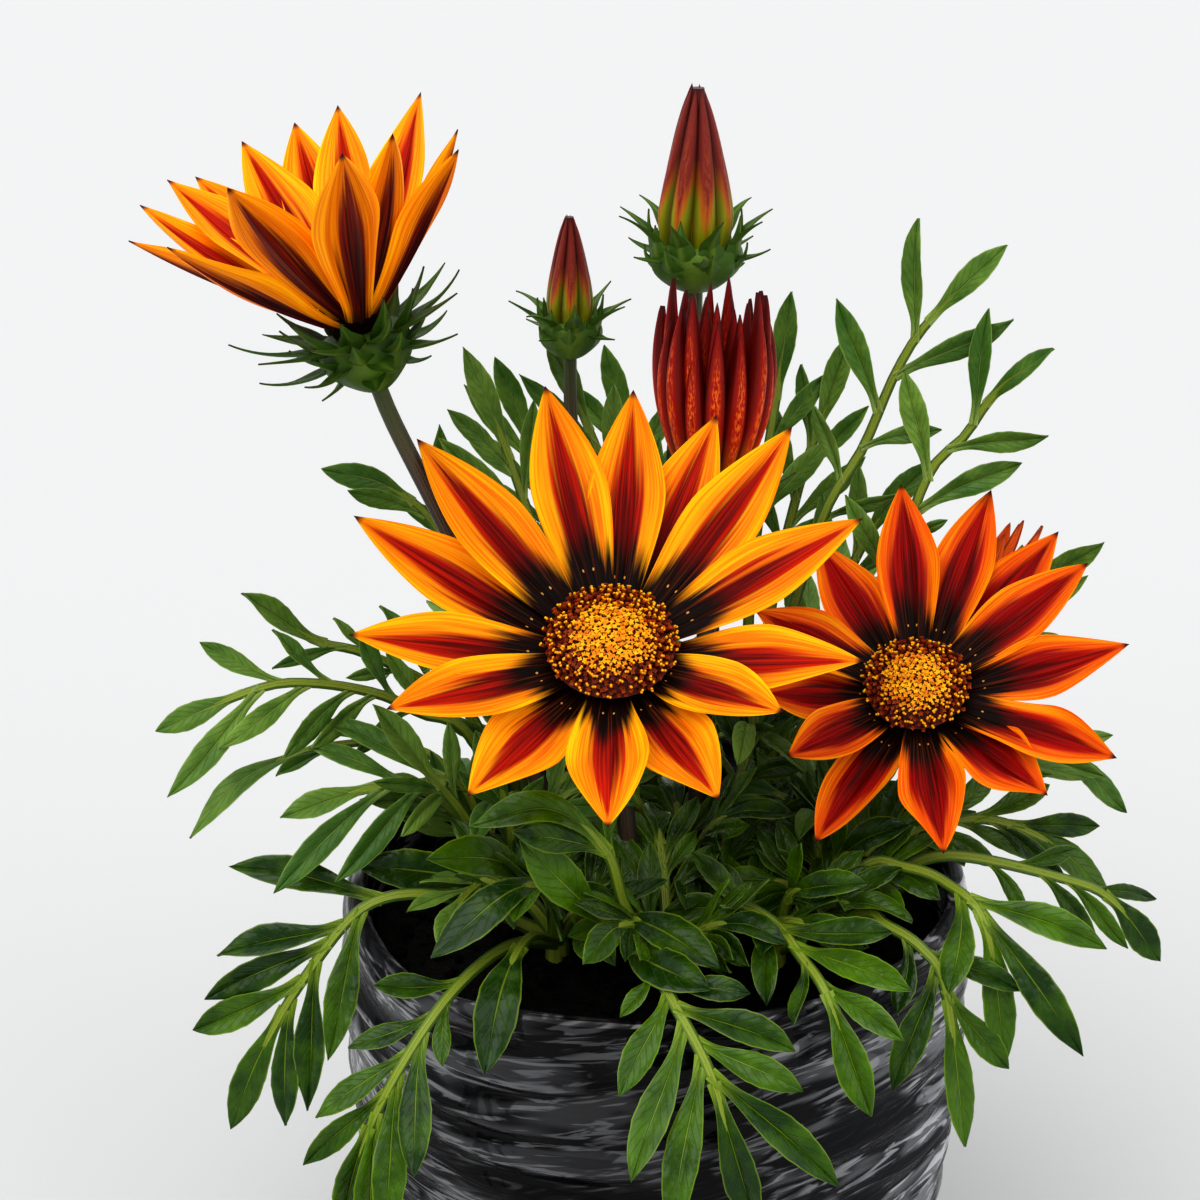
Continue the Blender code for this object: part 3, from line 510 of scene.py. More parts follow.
@dataclass(frozen=True)
class BractFinish:
    """A green bract or the cup that carries it, with a paler keel and brown points."""

    name: str
    green: tuple
    keel: tuple
    point_colour: tuple

    def make(self) -> bpy.types.Material:
        """Builds the material: keel by the place across, brown by the place along, noise over both."""
        kit = Kit(self.name)
        across, along = kit.across_along()
        off = (across * 2 - 1).size()
        cloud = kit.noise(kit.point(), 260.0, 3.0)
        grain = kit.noise(kit.point(), 1500.0, 2.0)
        colour = kit.mix(off.under(0.0, 0.45) * 0.55 + (cloud - 0.5) * 0.8, self.green, self.keel)
        colour = kit.mix(along.over(0.86, 1.0) * 0.8, colour, self.point_colour)
        kit.bump(cloud + grain * 0.5 - off * 0.6, 0.00025, 0.8)
        return kit.finish(
            Base_Color=colour, Roughness=0.5 + (grain - 0.5) * 0.2, Specular_IOR_Level=0.25
        )


@dataclass(frozen=True)
class FloretFinish:
    """The small florets of a disc: a dark tube that turns into a bright mouth between two places."""

    name: str
    tube: tuple
    mouth: tuple
    bright: tuple
    change: tuple

    def make(self) -> bpy.types.Material:
        """Builds the material: tube to mouth by the place along, each floret of its own brightness."""
        kit = Kit(self.name)
        _, along = kit.across_along()
        seed = kit.seed()
        mouth = kit.mix(seed, self.mouth, self.bright)
        colour = kit.mix(along.over(*self.change), self.tube, mouth)
        grain = kit.noise(kit.point(), 2400.0, 2.0)
        kit.bump(grain, 0.0001, 0.6)
        return kit.finish(
            Base_Color=colour, Roughness=0.5 + (grain - 0.5) * 0.2, Specular_IOR_Level=0.2
        )


@dataclass(frozen=True)
class GlazeFinish:
    """A black glaze with fine drawn-out ripples over the thrown rings, and painted reflections: grey
    streaks along the ripples and a grey sheen, both brightening towards the pot's left and right sides
    as seen from the front.
    """

    name: str = "Black glaze"
    body: tuple = (5, 5, 6)
    # Painted reflections: the grey of the reflection streaks, the near white they turn to at the sides,
    # and the grey sheen of the sides.
    streak_reflection: tuple = (46, 47, 52)
    gleam: tuple = (206, 208, 214)
    side_reflection: tuple = (34, 35, 39)

    def make(self) -> bpy.types.Material:
        """Builds the material: noise stretched sideways round the wall raises and dulls the glaze, and
        painted reflection streaks and a painted side sheen go into its colour.
        """
        kit = Kit(self.name)
        x, y, z = kit.parts(kit.point())
        sag = z + x * y * 3.7
        long = kit.noise(kit.vector(x * 40, y * 40, sag * 180), 1.0, 2.0, 0.5)
        short = kit.noise(kit.vector(x * 80, y * 80, sag * 640), 1.0, 2.5, 1.1)
        pits = kit.noise(kit.point(), 420.0, 2.0)
        # shine marks the ripples that catch the light: it thickens the coat, and it paints reflection
        # streaks into the colour.
        shine = short.over(0.51, 0.61) * 0.7 + long.over(0.5, 0.64) * 0.3
        shine = shine * long.over(0.38, 0.54)
        # Painted reflection: edge grows towards the pot's left and right sides as seen from the front,
        # and brightens the streaks and the body there.
        edge = ((x + 0.008) * 17).size() ** 1.8
        ground = kit.mix(edge * 0.8, self.body, self.side_reflection)
        colour = kit.mix(shine * 0.8, ground, kit.mix(edge, self.streak_reflection, self.gleam))
        kit.bump(long * 1.0 + short * 0.5, 0.0012, 1.0)
        return kit.finish(
            Base_Color=colour, Roughness=0.1 + (long - 0.5) * 0.08 + pits.over(0.62, 0.8) * 0.05,
            Coat_Weight=shine + 0.08, Coat_Roughness=0.06, Coat_IOR=1.9, Specular_IOR_Level=0.03,
        )


@dataclass(frozen=True)
class SoilFinish:
    """Dark damp potting soil."""

    name: str = "Potting soil"
    damp: tuple = (5, 4, 3)
    crumb: tuple = (20, 14, 10)

    def make(self) -> bpy.types.Material:
        """Builds the material from two sizes of noise on the object's own place."""
        kit = Kit(self.name)
        lumps = kit.noise(kit.point(), 330.0, 5.0)
        dust = kit.noise(kit.point(), 1500.0, 3.0)
        colour = kit.mix(lumps.over(0.4, 0.75) * 0.7 + (dust - 0.5) * 0.4, self.damp, self.crumb)
        kit.bump(lumps + dust * 0.5, 0.0012, 1.0)
        return kit.finish(
            Base_Color=colour, Roughness=0.85 + (dust - 0.5) * 0.2, Specular_IOR_Level=0.08
        )


# Surfaces


def unit(vectors: Array) -> Array:
    """Each vector over its own length."""
    return vectors / np.linalg.norm(vectors, axis=-1, keepdims=True)


def grid(*columns: Array | float) -> Array:
    """Arrays that broadcast together, stacked along a new last axis."""
    return np.stack(np.broadcast_arrays(*columns), axis=-1)


def circle(around: int) -> Array:
    """Evenly spaced angles of one full turn."""
    return np.linspace(0, 2 * np.pi, around, endpoint=False)


def outward(angle: Array) -> Array:
    """The level unit vector at each angle round Z."""
    return grid(np.cos(angle), np.sin(angle), 0.0)


def square_to(axis: Array, angle: Array) -> Array:
    """Unit vectors square to an axis.

    Args:
        axis: N x 3.
        angle: Angles round the axis, the same for all or N x around.

    Returns:
        N x around x 3.
    """
    side = unit(np.cross(axis, np.array([0.31, 0.77, 0.2])))
    other = np.cross(axis, side)
    return side[:, None] * np.cos(angle)[..., None] + other[:, None] * np.sin(angle)[..., None]


def smooth(low: float, high: float, values: Array) -> Array:
    """0 below low, 1 above high, and 3s^2 - 2s^3 of the share s between them."""
    share = np.clip((values - low) / (high - low), 0, 1)
    return share * share * (3 - 2 * share)


def link(obj: bpy.types.Object) -> bpy.types.Object:
    """Links a new object to the scene and gives it back."""
    bpy.context.scene.collection.objects.link(obj)
    return obj


class Skin:
    """Closed lofts gathered as whole arrays and put into one mesh.

    A loft is a stack of rings of points. Neighbouring rings are joined by quads, and the first and the
    last ring close on a pole at their middle, so each loft is a closed body.
    """

    def __init__(self) -> None:
        """Starts empty."""
        self.points: list[Array] = []
        self.uvs: list[Array] = []
        self.seeds: list[Array] = []
        self.quads: list[Array] = []
        self.tris: list[Array] = []
        self.quad_slots: list[Array] = []
        self.tri_slots: list[Array] = []
        self.count = 0

    def add(self, rings: Array, uv: Array, seeds: Array, slots: Array | int = 0) -> None:
        """Adds N lofts of the same grid.

        Args:
            rings: Points in mm, N x rows x around x 3, counter-clockwise seen from the last ring.
            uv: rows x around x 2.
            seeds: N numbers from 0 to 1.
            slots: The material of each strip around, or of all.
        """
        number, rows, around, _ = rings.shape
        poles = np.stack([rings[:, 0].mean(axis=1), rings[:, -1].mean(axis=1)], axis=1)
        self.points.append(np.concatenate([rings.reshape(number, -1, 3), poles], axis=1).reshape(-1, 3))
        pole_uv = np.stack([uv[0].mean(axis=0), uv[-1].mean(axis=0)])
        self.uvs.append(np.tile(np.concatenate([uv.reshape(-1, 2), pole_uv]), (number, 1)))
        each = rows * around + 2
        self.seeds.append(np.repeat(seeds, each))
        ring = np.arange(rows * around).reshape(rows, around)
        after = np.roll(ring, -1, axis=1)
        quads = np.stack([ring[:-1], after[:-1], after[1:], ring[1:]], axis=-1).reshape(-1, 4)
        foot = np.stack([np.full(around, each - 2), after[0], ring[0]], axis=-1)
        head = np.stack([np.full(around, each - 1), ring[-1], after[-1]], axis=-1)
        start = self.count + np.arange(number)[:, None, None] * each
        self.quads.append((start + quads).reshape(-1, 4))
        self.tris.append((start + np.concatenate([foot, head])).reshape(-1, 3))
        strip = np.broadcast_to(np.asarray(slots, int), (around,))
        self.quad_slots.append(np.tile(strip, (rows - 1) * number))
        self.tri_slots.append(np.tile(strip, 2 * number))
        self.count += number * each

    def build(
        self, name: str, finishes: list[bpy.types.Material], crease: float = 60.0
    ) -> bpy.types.Object:
        """Puts everything into one object with its UV map, seed attribute and sharp edges.

        Args:
            name: The piece's name.
            finishes: Its materials, in the order of the slots.
            crease: Edges that turn by more than this many degrees are shaded sharp.

        Returns:
            The object, linked to the scene.
        """
        points = np.concatenate(self.points) * MM
        quads = np.concatenate(self.quads)
        tris = np.concatenate(self.tris)
        corners = np.concatenate([quads.ravel(), tris.ravel()]).astype(np.int32)
        starts = np.concatenate([
            np.arange(len(quads)) * 4, len(quads) * 4 + np.arange(len(tris)) * 3
        ]).astype(np.int32)
        mesh = bpy.data.meshes.new(name)
        mesh.vertices.add(len(points))
        mesh.vertices.foreach_set("co", points.astype(np.float32).ravel())
        mesh.loops.add(len(corners))
        mesh.loops.foreach_set("vertex_index", corners)
        mesh.polygons.add(len(starts))
        mesh.polygons.foreach_set("loop_start", starts)
        slots = np.concatenate(self.quad_slots + self.tri_slots).astype(np.int32)
        mesh.polygons.foreach_set("material_index", slots)
        uv_map = mesh.uv_layers.new(name="UVMap")
        uv_map.data.foreach_set("uv", np.concatenate(self.uvs)[corners].astype(np.float32).ravel())
        seed = mesh.attributes.new("seed", "FLOAT", "POINT")
        seed.data.foreach_set("value", np.concatenate(self.seeds).astype(np.float32))
        mesh.update(calc_edges=True)
        mesh.validate()
        mesh.shade_smooth()
        mesh.set_sharp_from_angle(angle=math.radians(crease))
        for finish in finishes:
            mesh.materials.append(finish)
        return link(bpy.data.objects.new(name, mesh))


@dataclass(frozen=True)
class Section:
    """The closed outline that a blade or tube carries along its middle line.

    It runs across the front from one edge to the other and comes back behind it.
    """

    strips: int
    bulge: float = 2.0

    def across(self) -> Array:
        """Place across, from -1 to 1 on the front and back again."""
        ahead = np.linspace(-1, 1, self.strips + 1)
        return np.concatenate([ahead, ahead[::-1][1:-1]])

    def face(self) -> Array:
        """+1 on the front, -1 on the back."""
        return np.concatenate([np.ones(self.strips + 1), -np.ones(self.strips - 1)])

    def slots(self) -> Array:
        """The front's strips take the first finish and the back's the second."""
        return np.repeat([Side.FRONT.value, Side.BACK.value], self.strips)

    def rings(
        self, spine: Array, normal: Array, half: Array, thick: Array, lift: Array | float = 0.0
    ) -> Array:
        """Rings about the middle lines.

        A point lies half times its place across along the side, and along the normal by lift plus or
        minus half the thickness, which falls off as 1 less the place across to the power bulge.

        Args:
            spine: N x rows x 3.
            normal: N x rows x 3, the way the front looks.
            half: N x rows half-widths.
            thick: N x rows thicknesses.
            lift: N x rows x around, or a number.

        Returns:
            N x rows x around x 3.
        """
        tangent = unit(np.gradient(spine, axis=1))
        normal = unit(normal - (normal * tangent).sum(-1, keepdims=True) * tangent)
        side = np.cross(tangent, normal)
        across = self.across()
        swell = (1 - np.abs(across) ** self.bulge) ** (1 / self.bulge if self.bulge <= 2 else 0.8)
        rise = lift + 0.5 * thick[..., None] * swell * self.face()
        return (
            spine[:, :, None]
            + side[:, :, None] * (half[..., None] * across)[..., None]
            + normal[:, :, None] * rise[..., None]
        )

    def uv(self, along: Array) -> Array:
        """Place across from 0 to 1 and place along."""
        return grid((self.across() + 1) / 2, along[:, None])


def walk(points: Array, spans: int = 16) -> tuple[Array, Array]:
    """A Catmull-Rom curve through points.

    Between two points it is a cubic whose slope at each is half the step between its neighbours.

    Args:
        points: The points.
        spans: Steps from each point to the next.

    Returns:
        The curve's dense points, and the length walked at each of them.
    """
    points = np.asarray(points, float)
    padded = np.vstack([2 * points[0] - points[1], points, 2 * points[-1] - points[-2]])
    t = np.linspace(0, 1, spans, endpoint=False)[None, :, None]
    a, b, c, d = (padded[k:len(points) - 1 + k, None, :] for k in range(4))
    curve = 0.5 * (2 * b + (c - a) * t + (2 * a - 5 * b + 4 * c - d) * t**2
                   + (3 * b - a - 3 * c + d) * t**3)
    dense = np.vstack([curve.reshape(-1, 3), points[-1:]])
    walked = np.concatenate([[0], np.cumsum(np.linalg.norm(np.diff(dense, axis=0), axis=1))])
    return dense, walked


def at(dense: Array, walked: Array, fractions: Array) -> Array:
    """Points at these fractions of the length of a curve from walk."""
    wanted = np.asarray(fractions) * walked[-1]
    return np.stack([np.interp(wanted, walked, dense[:, k]) for k in range(3)], axis=-1)


def tangents_at(dense: Array, walked: Array, fractions: Array) -> Array:
    """Unit tangents, from points a hundredth of the length to each side.

    Args:
        dense: The curve's dense points.
        walked: The length walked at each of them.
        fractions: Shares of the length.

    Returns:
        One tangent for each fraction.
    """
    ahead = at(dense, walked, np.clip(fractions + 0.01, 0, 1))
    behind = at(dense, walked, np.clip(fractions - 0.01, 0, 1))
    return unit(ahead - behind)


def turned_rings(profile: Array, around: int) -> Array:
    """Rings of a profile turned about Z.

    Args:
        profile: Rows of (radius, height).
        around: Points round each ring.

    Returns:
        1 x rows x around x 3.
    """
    angle = circle(around)
    radius, height = np.asarray(profile, float).T[..., None]
    return grid(radius * np.cos(angle), radius * np.sin(angle), height)[None]


def turned_uv(rows: int, around: int) -> Array:
    """Place round from 0 to 1 and back, so that no seam shows, and place along."""
    turn = np.abs(np.linspace(-1, 1, around, endpoint=False))
    return grid(turn, np.linspace(0, 1, rows)[:, None])


def spread_profile(profile: tuple, rows: int) -> Array:
    """A profile's rows spread evenly on a smooth curve through it.

    Args:
        profile: Rows of (radius, height).
        rows: How many rows come out.

    Returns:
        The new rows.
    """
    points = np.array([(radius, 0.0, height) for radius, height in profile], float)
    dense, walked = walk(points)
    return at(dense, walked, np.linspace(0, 1, rows))[:, [0, 2]]


@dataclass(frozen=True)
class Place:
    """A head's own frame: Z along its axis, X to the plant's right."""

    centre: tuple
    axis: tuple

    def matrix(self) -> Array:
        """Its three axes as columns."""
        up = unit(np.array(self.axis, float))
        right = np.array([1.0, 0, 0])
        right = unit(right - up * right.dot(up))
        return np.stack([right, np.cross(up, right), up], axis=1)

    def out(self, local: Array) -> Array:
        """From the head's frame to the plant's."""
        return local @ self.matrix().T + np.array(self.centre, float)

    def back(self, world: Array) -> Array:
        """From the plant's frame to the head's."""
        return (np.asarray(world, float) - np.array(self.centre, float)) @ self.matrix()


def show(obj: bpy.types.Object, slot: str, *nodes: str) -> None:
    """Lets a piece ride on the plant, hides the plain nodes that it stands for, and logs its faces.

    Args:
        obj: The piece.
        slot: Its slot; not used.
        nodes: The plain nodes that it stands for.
    """
    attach(obj, ROOT_BODY)
    if nodes:
        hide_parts(*nodes)
    LOG.info("%s: %d faces", obj.name, len(obj.data.polygons))


# Blades round an axis


@dataclass(frozen=True)
class Whorl:
    """Blades round an axis: how one leaves it, its size, and where each one stands.

    root is the foot's (radius, height), and rise the slope in degrees at the foot and the tip. placed
    holds (azimuth, share of the length, layer) for each blade. fold, pleat and wave are heights in mm,
    wild multiplies each blade's own bend, curl and twist, roll thins the tips, and ruffle enlarges the
    waves of the blades that hang at the front.
    """

    root: tuple
    rise: tuple
    length: float
    width: float
    fold: float
    placed: tuple
    thick: float = 0.45
    pleat: float = 0.38
    wave: float = 0.4
    wild: float = 1.0
    roll: float = 0.0
    ruffle: float = 0.0

    def outline(self, t: Array) -> Array:
        """Half-width as a share of the widest: narrow foot, widest past the middle, drawn-out tip.

        It rises with a smooth step, and falls as 1 less a power of the place beyond the widest.

        Args:
            t: The place along of each row.

        Returns:
            One share for each row.
        """
        rising = 0.4 + 0.6 * smooth(0, 0.58, t)
        tip = np.clip((t - 0.58) / 0.42, 0, 1)
        return np.where(t < 0.58, rising, (1 - tip**1.75) * (1 - 0.12 * tip))

    def local_rings(self, section: Section, rows: int, chance: Chance) -> tuple[Array, Array]:
        """Rings of every blade in the head's frame.

        The middle line is an arc whose slope climbs from rise[0] to rise[1]: radius and height are the
        arc's sine and cosine integrals. Each blade then bends sideways and curls by its own small share
        of t squared and t cubed. Its margins stand up by fold, and pleats are a cosine across it.

        Args:
            section: The outline across a blade.
            rows: Rows along a blade.
            chance: The random source.

        Returns:
            The rings and the place along of each row.
        """
        number = len(self.placed)
        azimuth, share, layer = (np.array(column, float)[:, None] for column in zip(*self.placed))
        t = np.linspace(0, 1, rows) ** 0.92
        first = np.radians(self.rise[0])
        turn = np.radians(self.rise[1] - self.rise[0])
        slope = first + turn * t[None]
        length = self.length * share
        bend, curl, twist, phase = chance.uniform(-1, 1, (4, number, 1)) * self.wild
        radius = self.root[0] + length * (np.sin(slope) - np.sin(first)) / turn
        height = self.root[1] - length * (np.cos(slope) - np.cos(first)) / turn
        normal = grid(-np.sin(slope), 0.0, np.cos(slope))
        drop = layer * (LAYER_STEP + 0.8 * t) - curl * 0.03 * length * t**3
        sway = bend * 0.022 * length * t**2
        spine = grid(radius, sway, height) - normal * drop[..., None]
        lean = (twist * 0.12 * t)[..., None]
        normal = unit(normal + lean * np.array([0.0, 1.0, 0.0]))
        half = 0.5 * self.width * self.outline(t)[None] * np.ones_like(radius)
        across = section.across()[None, None]
        open_share = np.minimum(1.0, half * 2 / self.width)[..., None]
        lift = self.fold * np.abs(across) ** 1.25 * open_share
        lift = lift - self.pleat * np.cos(3 * np.pi * across) * open_share
        turns = 1.2 * t[None, :, None] + phase[..., None]
        ripple = np.sin(2 * np.pi * turns + 1.5 * np.sign(across))
        hanging = np.clip(-np.sin(np.radians(azimuth - 20)), 0, 1)[..., None]
        lift = lift + self.wave * (1 + self.ruffle * hanging) * across**2 * ripple * open_share
        closing = 0.5 - 0.28 * self.roll
        thick = self.thick * (closing + (1 - closing) * open_share[..., 0])
        rings = section.rings(spine, normal, half, thick, lift)
        angle = np.radians(azimuth)[..., None]
        x, y = rings[..., 0].copy(), rings[..., 1].copy()
        rings[..., 0] = x * np.cos(angle) - y * np.sin(angle)
        rings[..., 1] = x * np.sin(angle) + y * np.cos(angle)
        return rings, t


def whorl(count: int, first: float, shares: tuple = (1.0,)) -> tuple:
    """Places for an even whorl in one layer, the shares of the length taken in turn."""
    return tuple((first + i * 360.0 / count, shares[i % len(shares)], 0) for i in range(count))


@dataclass(frozen=True)
class Bracts(Whorl):
    """Green bracts: a broad foot that tapers to a long point."""

    pleat: float = 0.0

    def outline(self, t: Array) -> Array:
        """Half-width as a share of the widest, falling from a broad foot to a point."""
        return (0.75 + 0.35 * np.sin(np.pi * np.minimum(t * 1.6, 1.0))) * (1 - t**1.5)


@dataclass(frozen=True, kw_only=True)
class Rolls(Whorl):
    """Rolled rays: thick tubes that close to a point."""

    fold: float = 0.0
    pleat: float = 0.0
    roll: float = 1.0

    def outline(self, t: Array) -> Array:
        """Half-width as a share of the widest: fuller past the middle, closing to a point."""
        return (0.66 + 0.34 * np.sin(np.pi * np.minimum(t * 1.1, 1.0))) * (1 - t**5.5) ** 0.8


@dataclass
class Disc:
    """The dome of small florets in the middle of a head."""

    name: str
    place: Place
    radius: float
    low: float
    shelf: float
    florets: int
    dome: bpy.types.Material
    inner: bpy.types.Material
    outer: bpy.types.Material

    def rise(self, share: Array) -> Array:
        """Height of the dome at this share of its radius."""
        return self.low + self.shelf + 0.3 + 2.2 * (1 - share**2.4)

    def build(self, chance: Chance) -> None:
        """Makes the dome, its florets, and the yellow tips of the outer ones.

        Floret i stands at i golden angles, at a radius that grows with the square root of i, so the
        florets lie evenly. Their axes lean outwards towards the rim.

        Args:
            chance: The random source.
        """
        skin = Skin()
        share = np.linspace(1, 0.02, 9)
        top = grid(share * self.radius * 0.97, self.rise(share) - 0.5)
        foot = [
            (0.2, self.low),
            (self.radius * 0.55, self.low),
            (self.radius * 0.9, self.low + self.shelf * 0.8),
        ]
        profile = np.vstack([foot, top])
        rings = turned_rings(profile, 28)
        skin.add(self.place.out(rings), turned_uv(len(profile), 28), LONE_SEED)
        index = np.arange(self.florets)
        share = np.sqrt((index + 0.5) / self.florets)
        angle = index * np.radians(GOLDEN_ANGLE) + chance.normal(0, 0.012, self.florets)
        tilt = 0.1 + 0.75 * share**2.5
        spread = share * self.radius * 0.87
        stem = grid(spread * np.cos(angle), spread * np.sin(angle), self.rise(share) - 0.9)
        leaning = grid(np.cos(angle) * np.sin(tilt), np.sin(angle) * np.sin(tilt), np.cos(tilt))
        axis = unit(leaning + chance.normal(0, 0.09, (self.florets, 3)))
        pitch = self.radius * math.sqrt(math.pi / self.florets)
        tall = (1.45 + 0.8 * smooth(0.6, 0.95, share)) * chance.uniform(0.82, 1.18, self.florets)
        wide = pitch * (0.43 - 0.07 * share)
        edge = share + chance.normal(0, 0.05, self.florets) > 0.66
        for mask, slot in ((~edge, 1), (edge, 2)):
            self.tubes(skin, stem[mask], axis[mask], tall[mask], wide[mask], slot, chance)
        self.tips(skin, stem[edge], axis[edge], tall[edge], chance)
        obj = skin.build(f"{self.name}_disc_florets", [self.dome, self.inner, self.outer])
        show(obj, "disc_florets", f"{self.name}_disc")

    def tubes(
        self, skin: Skin, stem: Array, axis: Array, tall: Array, wide: Array, slot: int,
        chance: Chance,
    ) -> None:
        """Adds one small tube with a four-lobed mouth for each stem.

        The radius at each row is a share of the width, multiplied near the mouth by one plus a share of
        the cosine of four times the angle.

        Args:
            skin: Where the tubes go.
            stem: N x 3, their feet.
            axis: N x 3, their axes.
            tall: N heights.
            wide: N radii.
            slot: Their finish.
            chance: The random source.
        """
        rows = np.array([0.0, 0.5, 0.78, 1.0, 0.93])
        width = np.array([0.7, 0.72, 0.95, 1.25, 0.5])
        star = np.array([0.0, 0.0, 0.12, 0.3, 0.1])
        along = np.array([0, 0.4, 0.7, 1, 0.8])
        angle = circle(8)
        turn = chance.uniform(0, 2 * np.pi, len(stem))[:, None] + angle
        reach = width[:, None] * (1 + star[:, None] * np.cos(4 * angle))
        middle = stem[:, None] + axis[:, None] * (tall[:, None] * rows)[..., None]
        flat = square_to(axis, turn)[:, None] * (wide[:, None, None] * reach)[..., None]
        uv = grid(np.full_like(angle, 0.5), along[:, None])
        seeds = chance.uniform(0, 1, len(stem))
        skin.add(self.place.out(middle[:, :, None] + flat), uv, seeds, slot)

    def tips(self, skin: Skin, stem: Array, axis: Array, tall: Array, chance: Chance) -> None:
        """Adds two yellow knobbed threads that lean apart to about half of the outer florets.

        Args:
            skin: Where the threads go.
            stem: N x 3, the florets' feet.
            axis: N x 3, their axes.
            tall: N heights.
            chance: The random source.
        """
        rows = np.array([0.0, 0.55, 0.7, 0.9, 1.0])
        width = np.array([0.1, 0.1, 0.22, 0.25, 0.1])
        angle = circle(6)
        lean = unit(chance.normal(0, 1, (len(stem), 3)))
        keep = chance.uniform(0, 1, len(stem)) < 0.5
        stem, axis, tall, lean = stem[keep], axis[keep], tall[keep], lean[keep]
        start = stem + axis * (tall * 0.8)[:, None]
        uv = grid(np.full_like(angle, 0.5), (0.55 + 0.45 * rows)[:, None])
        for way in (1, -1):
            along = unit(axis + way * 0.28 * lean)
            reach = chance.uniform(0.6, 1.25, len(stem))
            middle = start[:, None] + along[:, None] * (reach[:, None] * rows)[..., None]
            flat = square_to(along, angle)[:, None] * width[None, :, None, None]
            seeds = chance.uniform(0.4, 1, len(stem))
            skin.add(self.place.out(middle[:, :, None] + flat), uv, seeds, 1)


@dataclass
class Involucre:
    """The green cup below a head, its bracts, and its scape down into the soil."""

    name: str
    place: Place
    base: float
    cup: tuple
    whorls: tuple
    scape: tuple
    scape_radius: tuple
    green: bpy.types.Material
    stem: bpy.types.Material

    def build(self, chance: Chance) -> None:
        """Makes the cup, every whorl of bracts and the scape as one piece.

        The cup's radius is multiplied by one plus a small share of the cosine of nine times the angle,
        which gives it its ribs.

        Args:
            chance: The random source.
        """
        skin = Skin()
        foot = self.cup[-1]
        profile = ((0.3, foot[1] + 0.2), *reversed(self.cup), (self.cup[0][0] * 0.5, 0.1))
        rows, around = 22, 36
        rings = turned_rings(spread_profile(profile, rows), around)
        rings[..., :2] *= (1 + 0.035 * np.cos(9 * circle(around)))[:, None]
        rings[..., 2] += self.base
        skin.add(self.place.out(rings), turned_uv(rows, around) * [1, 0.5], LONE_SEED)
        section = Section(6, 3.0)
        for bracts in self.whorls:
            blades, t = bracts.local_rings(section, 12, chance)
            skin.add(self.place.out(blades), section.uv(t), chance.uniform(0, 1, len(blades)))
        self.add_scape(skin, foot[1] + self.base)
        obj = skin.build(f"{self.name}_bracts", [self.green, self.stem], 48.0)
        show(obj, "bracts", f"{self.name}_involucre")

    def add_scape(self, skin: Skin, cup_foot: float) -> None:
        """Carries a faintly ribbed round section up the scape's route into the cup.

        Args:
            skin: Where the scape goes.
            cup_foot: The height of the cup's foot in the head's frame.
        """
        below = [(*self.scape[0][:2], SCAPE_ROOT), *self.scape]
        local = np.vstack([self.place.back(below), [(0, 0, cup_foot - 6.0), (0, 0, cup_foot + 3.0)]])
        dense, walked = walk(local)
        share = np.linspace(0, 1, 40)
        spine = at(dense, walked, share)[None]
        section = Section(8, 2.0)
        radius = np.interp(share, (0, 1), self.scape_radius)[None] * 1.04
        normal = np.broadcast_to(np.array([0.0, -0.8, 0.6]), spine.shape)
        lift = 0.05 * np.cos(5 * np.pi * section.across()) * section.face()
        rings = section.rings(spine, normal, radius, 2 * radius, lift)
        skin.add(self.place.out(rings), section.uv(share), np.array([0.3]), 1)


@dataclass(frozen=True)
class Head:
    """A flower head's table: the same numbers as its solids, and what is added to them."""

    name: str
    centre: tuple
    axis: tuple
    rays: tuple
    plate: tuple
    disc: float
    florets: int
    cup: tuple
    bracts: tuple
    scape: tuple
    scape_radius: tuple
    finishes: tuple
    slot: str
    extra: tuple = ()

    def build(self, finishes: Looks, chance: Chance) -> None:
        """Makes the rays, the involucre and, where the head is open, the disc.

        Args:
            finishes: Every material by its name.
            chance: The random source.
        """
        place = Place(self.centre, self.axis)
        skin = Skin()
        main = self.rays[0]
        top = main.root[1] + PLATE_SKIN
        wide, deep = self.plate
        profile = (
            (0.3, top - deep), (wide * 0.8, top - deep), (wide * 0.97, top - 1.0),
            (wide * 0.8, top), (0.3, top),
        )
        skin.add(place.out(turned_rings(profile, 20)), turned_uv(5, 20) * [1, 0.05], LONE_SEED)
        for rays in self.rays:
            section = Section(10, 2.0) if rays.roll else Section(12, 3.0)
            blades, t = rays.local_rings(section, RAY_ROWS, chance)
            seeds = chance.uniform(0, 1, len(blades))
            skin.add(place.out(blades), section.uv(t), seeds, section.slots())
        obj = skin.build(f"{self.name}_ray_florets", [finishes[key] for key in self.finishes])
        show(obj, self.slot, f"{self.name}_rays")
        Involucre(
            self.name, place, top - deep - GAP, self.cup, self.bracts + self.extra, self.scape,
            self.scape_radius, finishes["bract"], finishes["scape"],
        ).build(chance)
        if self.disc:
            flare = math.tan(math.radians(main.rise[0] + 6.0))
            shelf = 1.1 + max(0.0, self.disc - wide) * flare
            Disc(
                self.name, place, self.disc, top + GAP, shelf, self.florets,
                finishes["dome"], finishes["floret"], finishes["outer"],
            ).build(chance)


def bract_rings(base: float, radius: float, rings: tuple) -> tuple:
    """The rings of bracts that the solids have, from the top one down.

    Args:
        base: The height of the cup's top.
        radius: The radius of the first ring; each further one is 1.6 mm narrower.
        rings: Rows of (count, start below the base, rise, length, width).

    Returns:
        One whorl for each row, its even bracts 0.86 of the length of the odd ones.
    """
    made = []
    for ring, (count, start, rise, length, width) in enumerate(rings):
        first = 0.5 * (ring % 2) * 360.0 / count + 7.0
        made.append(Bracts(
            (radius - 1.6 * ring, base + start), rise, length * 1.14, width * 1.85, 0.8,
            whorl(count, first, (0.86, 1.0)), thick=0.6, wave=0.15, wild=3.4,
        ))
    return tuple(made)


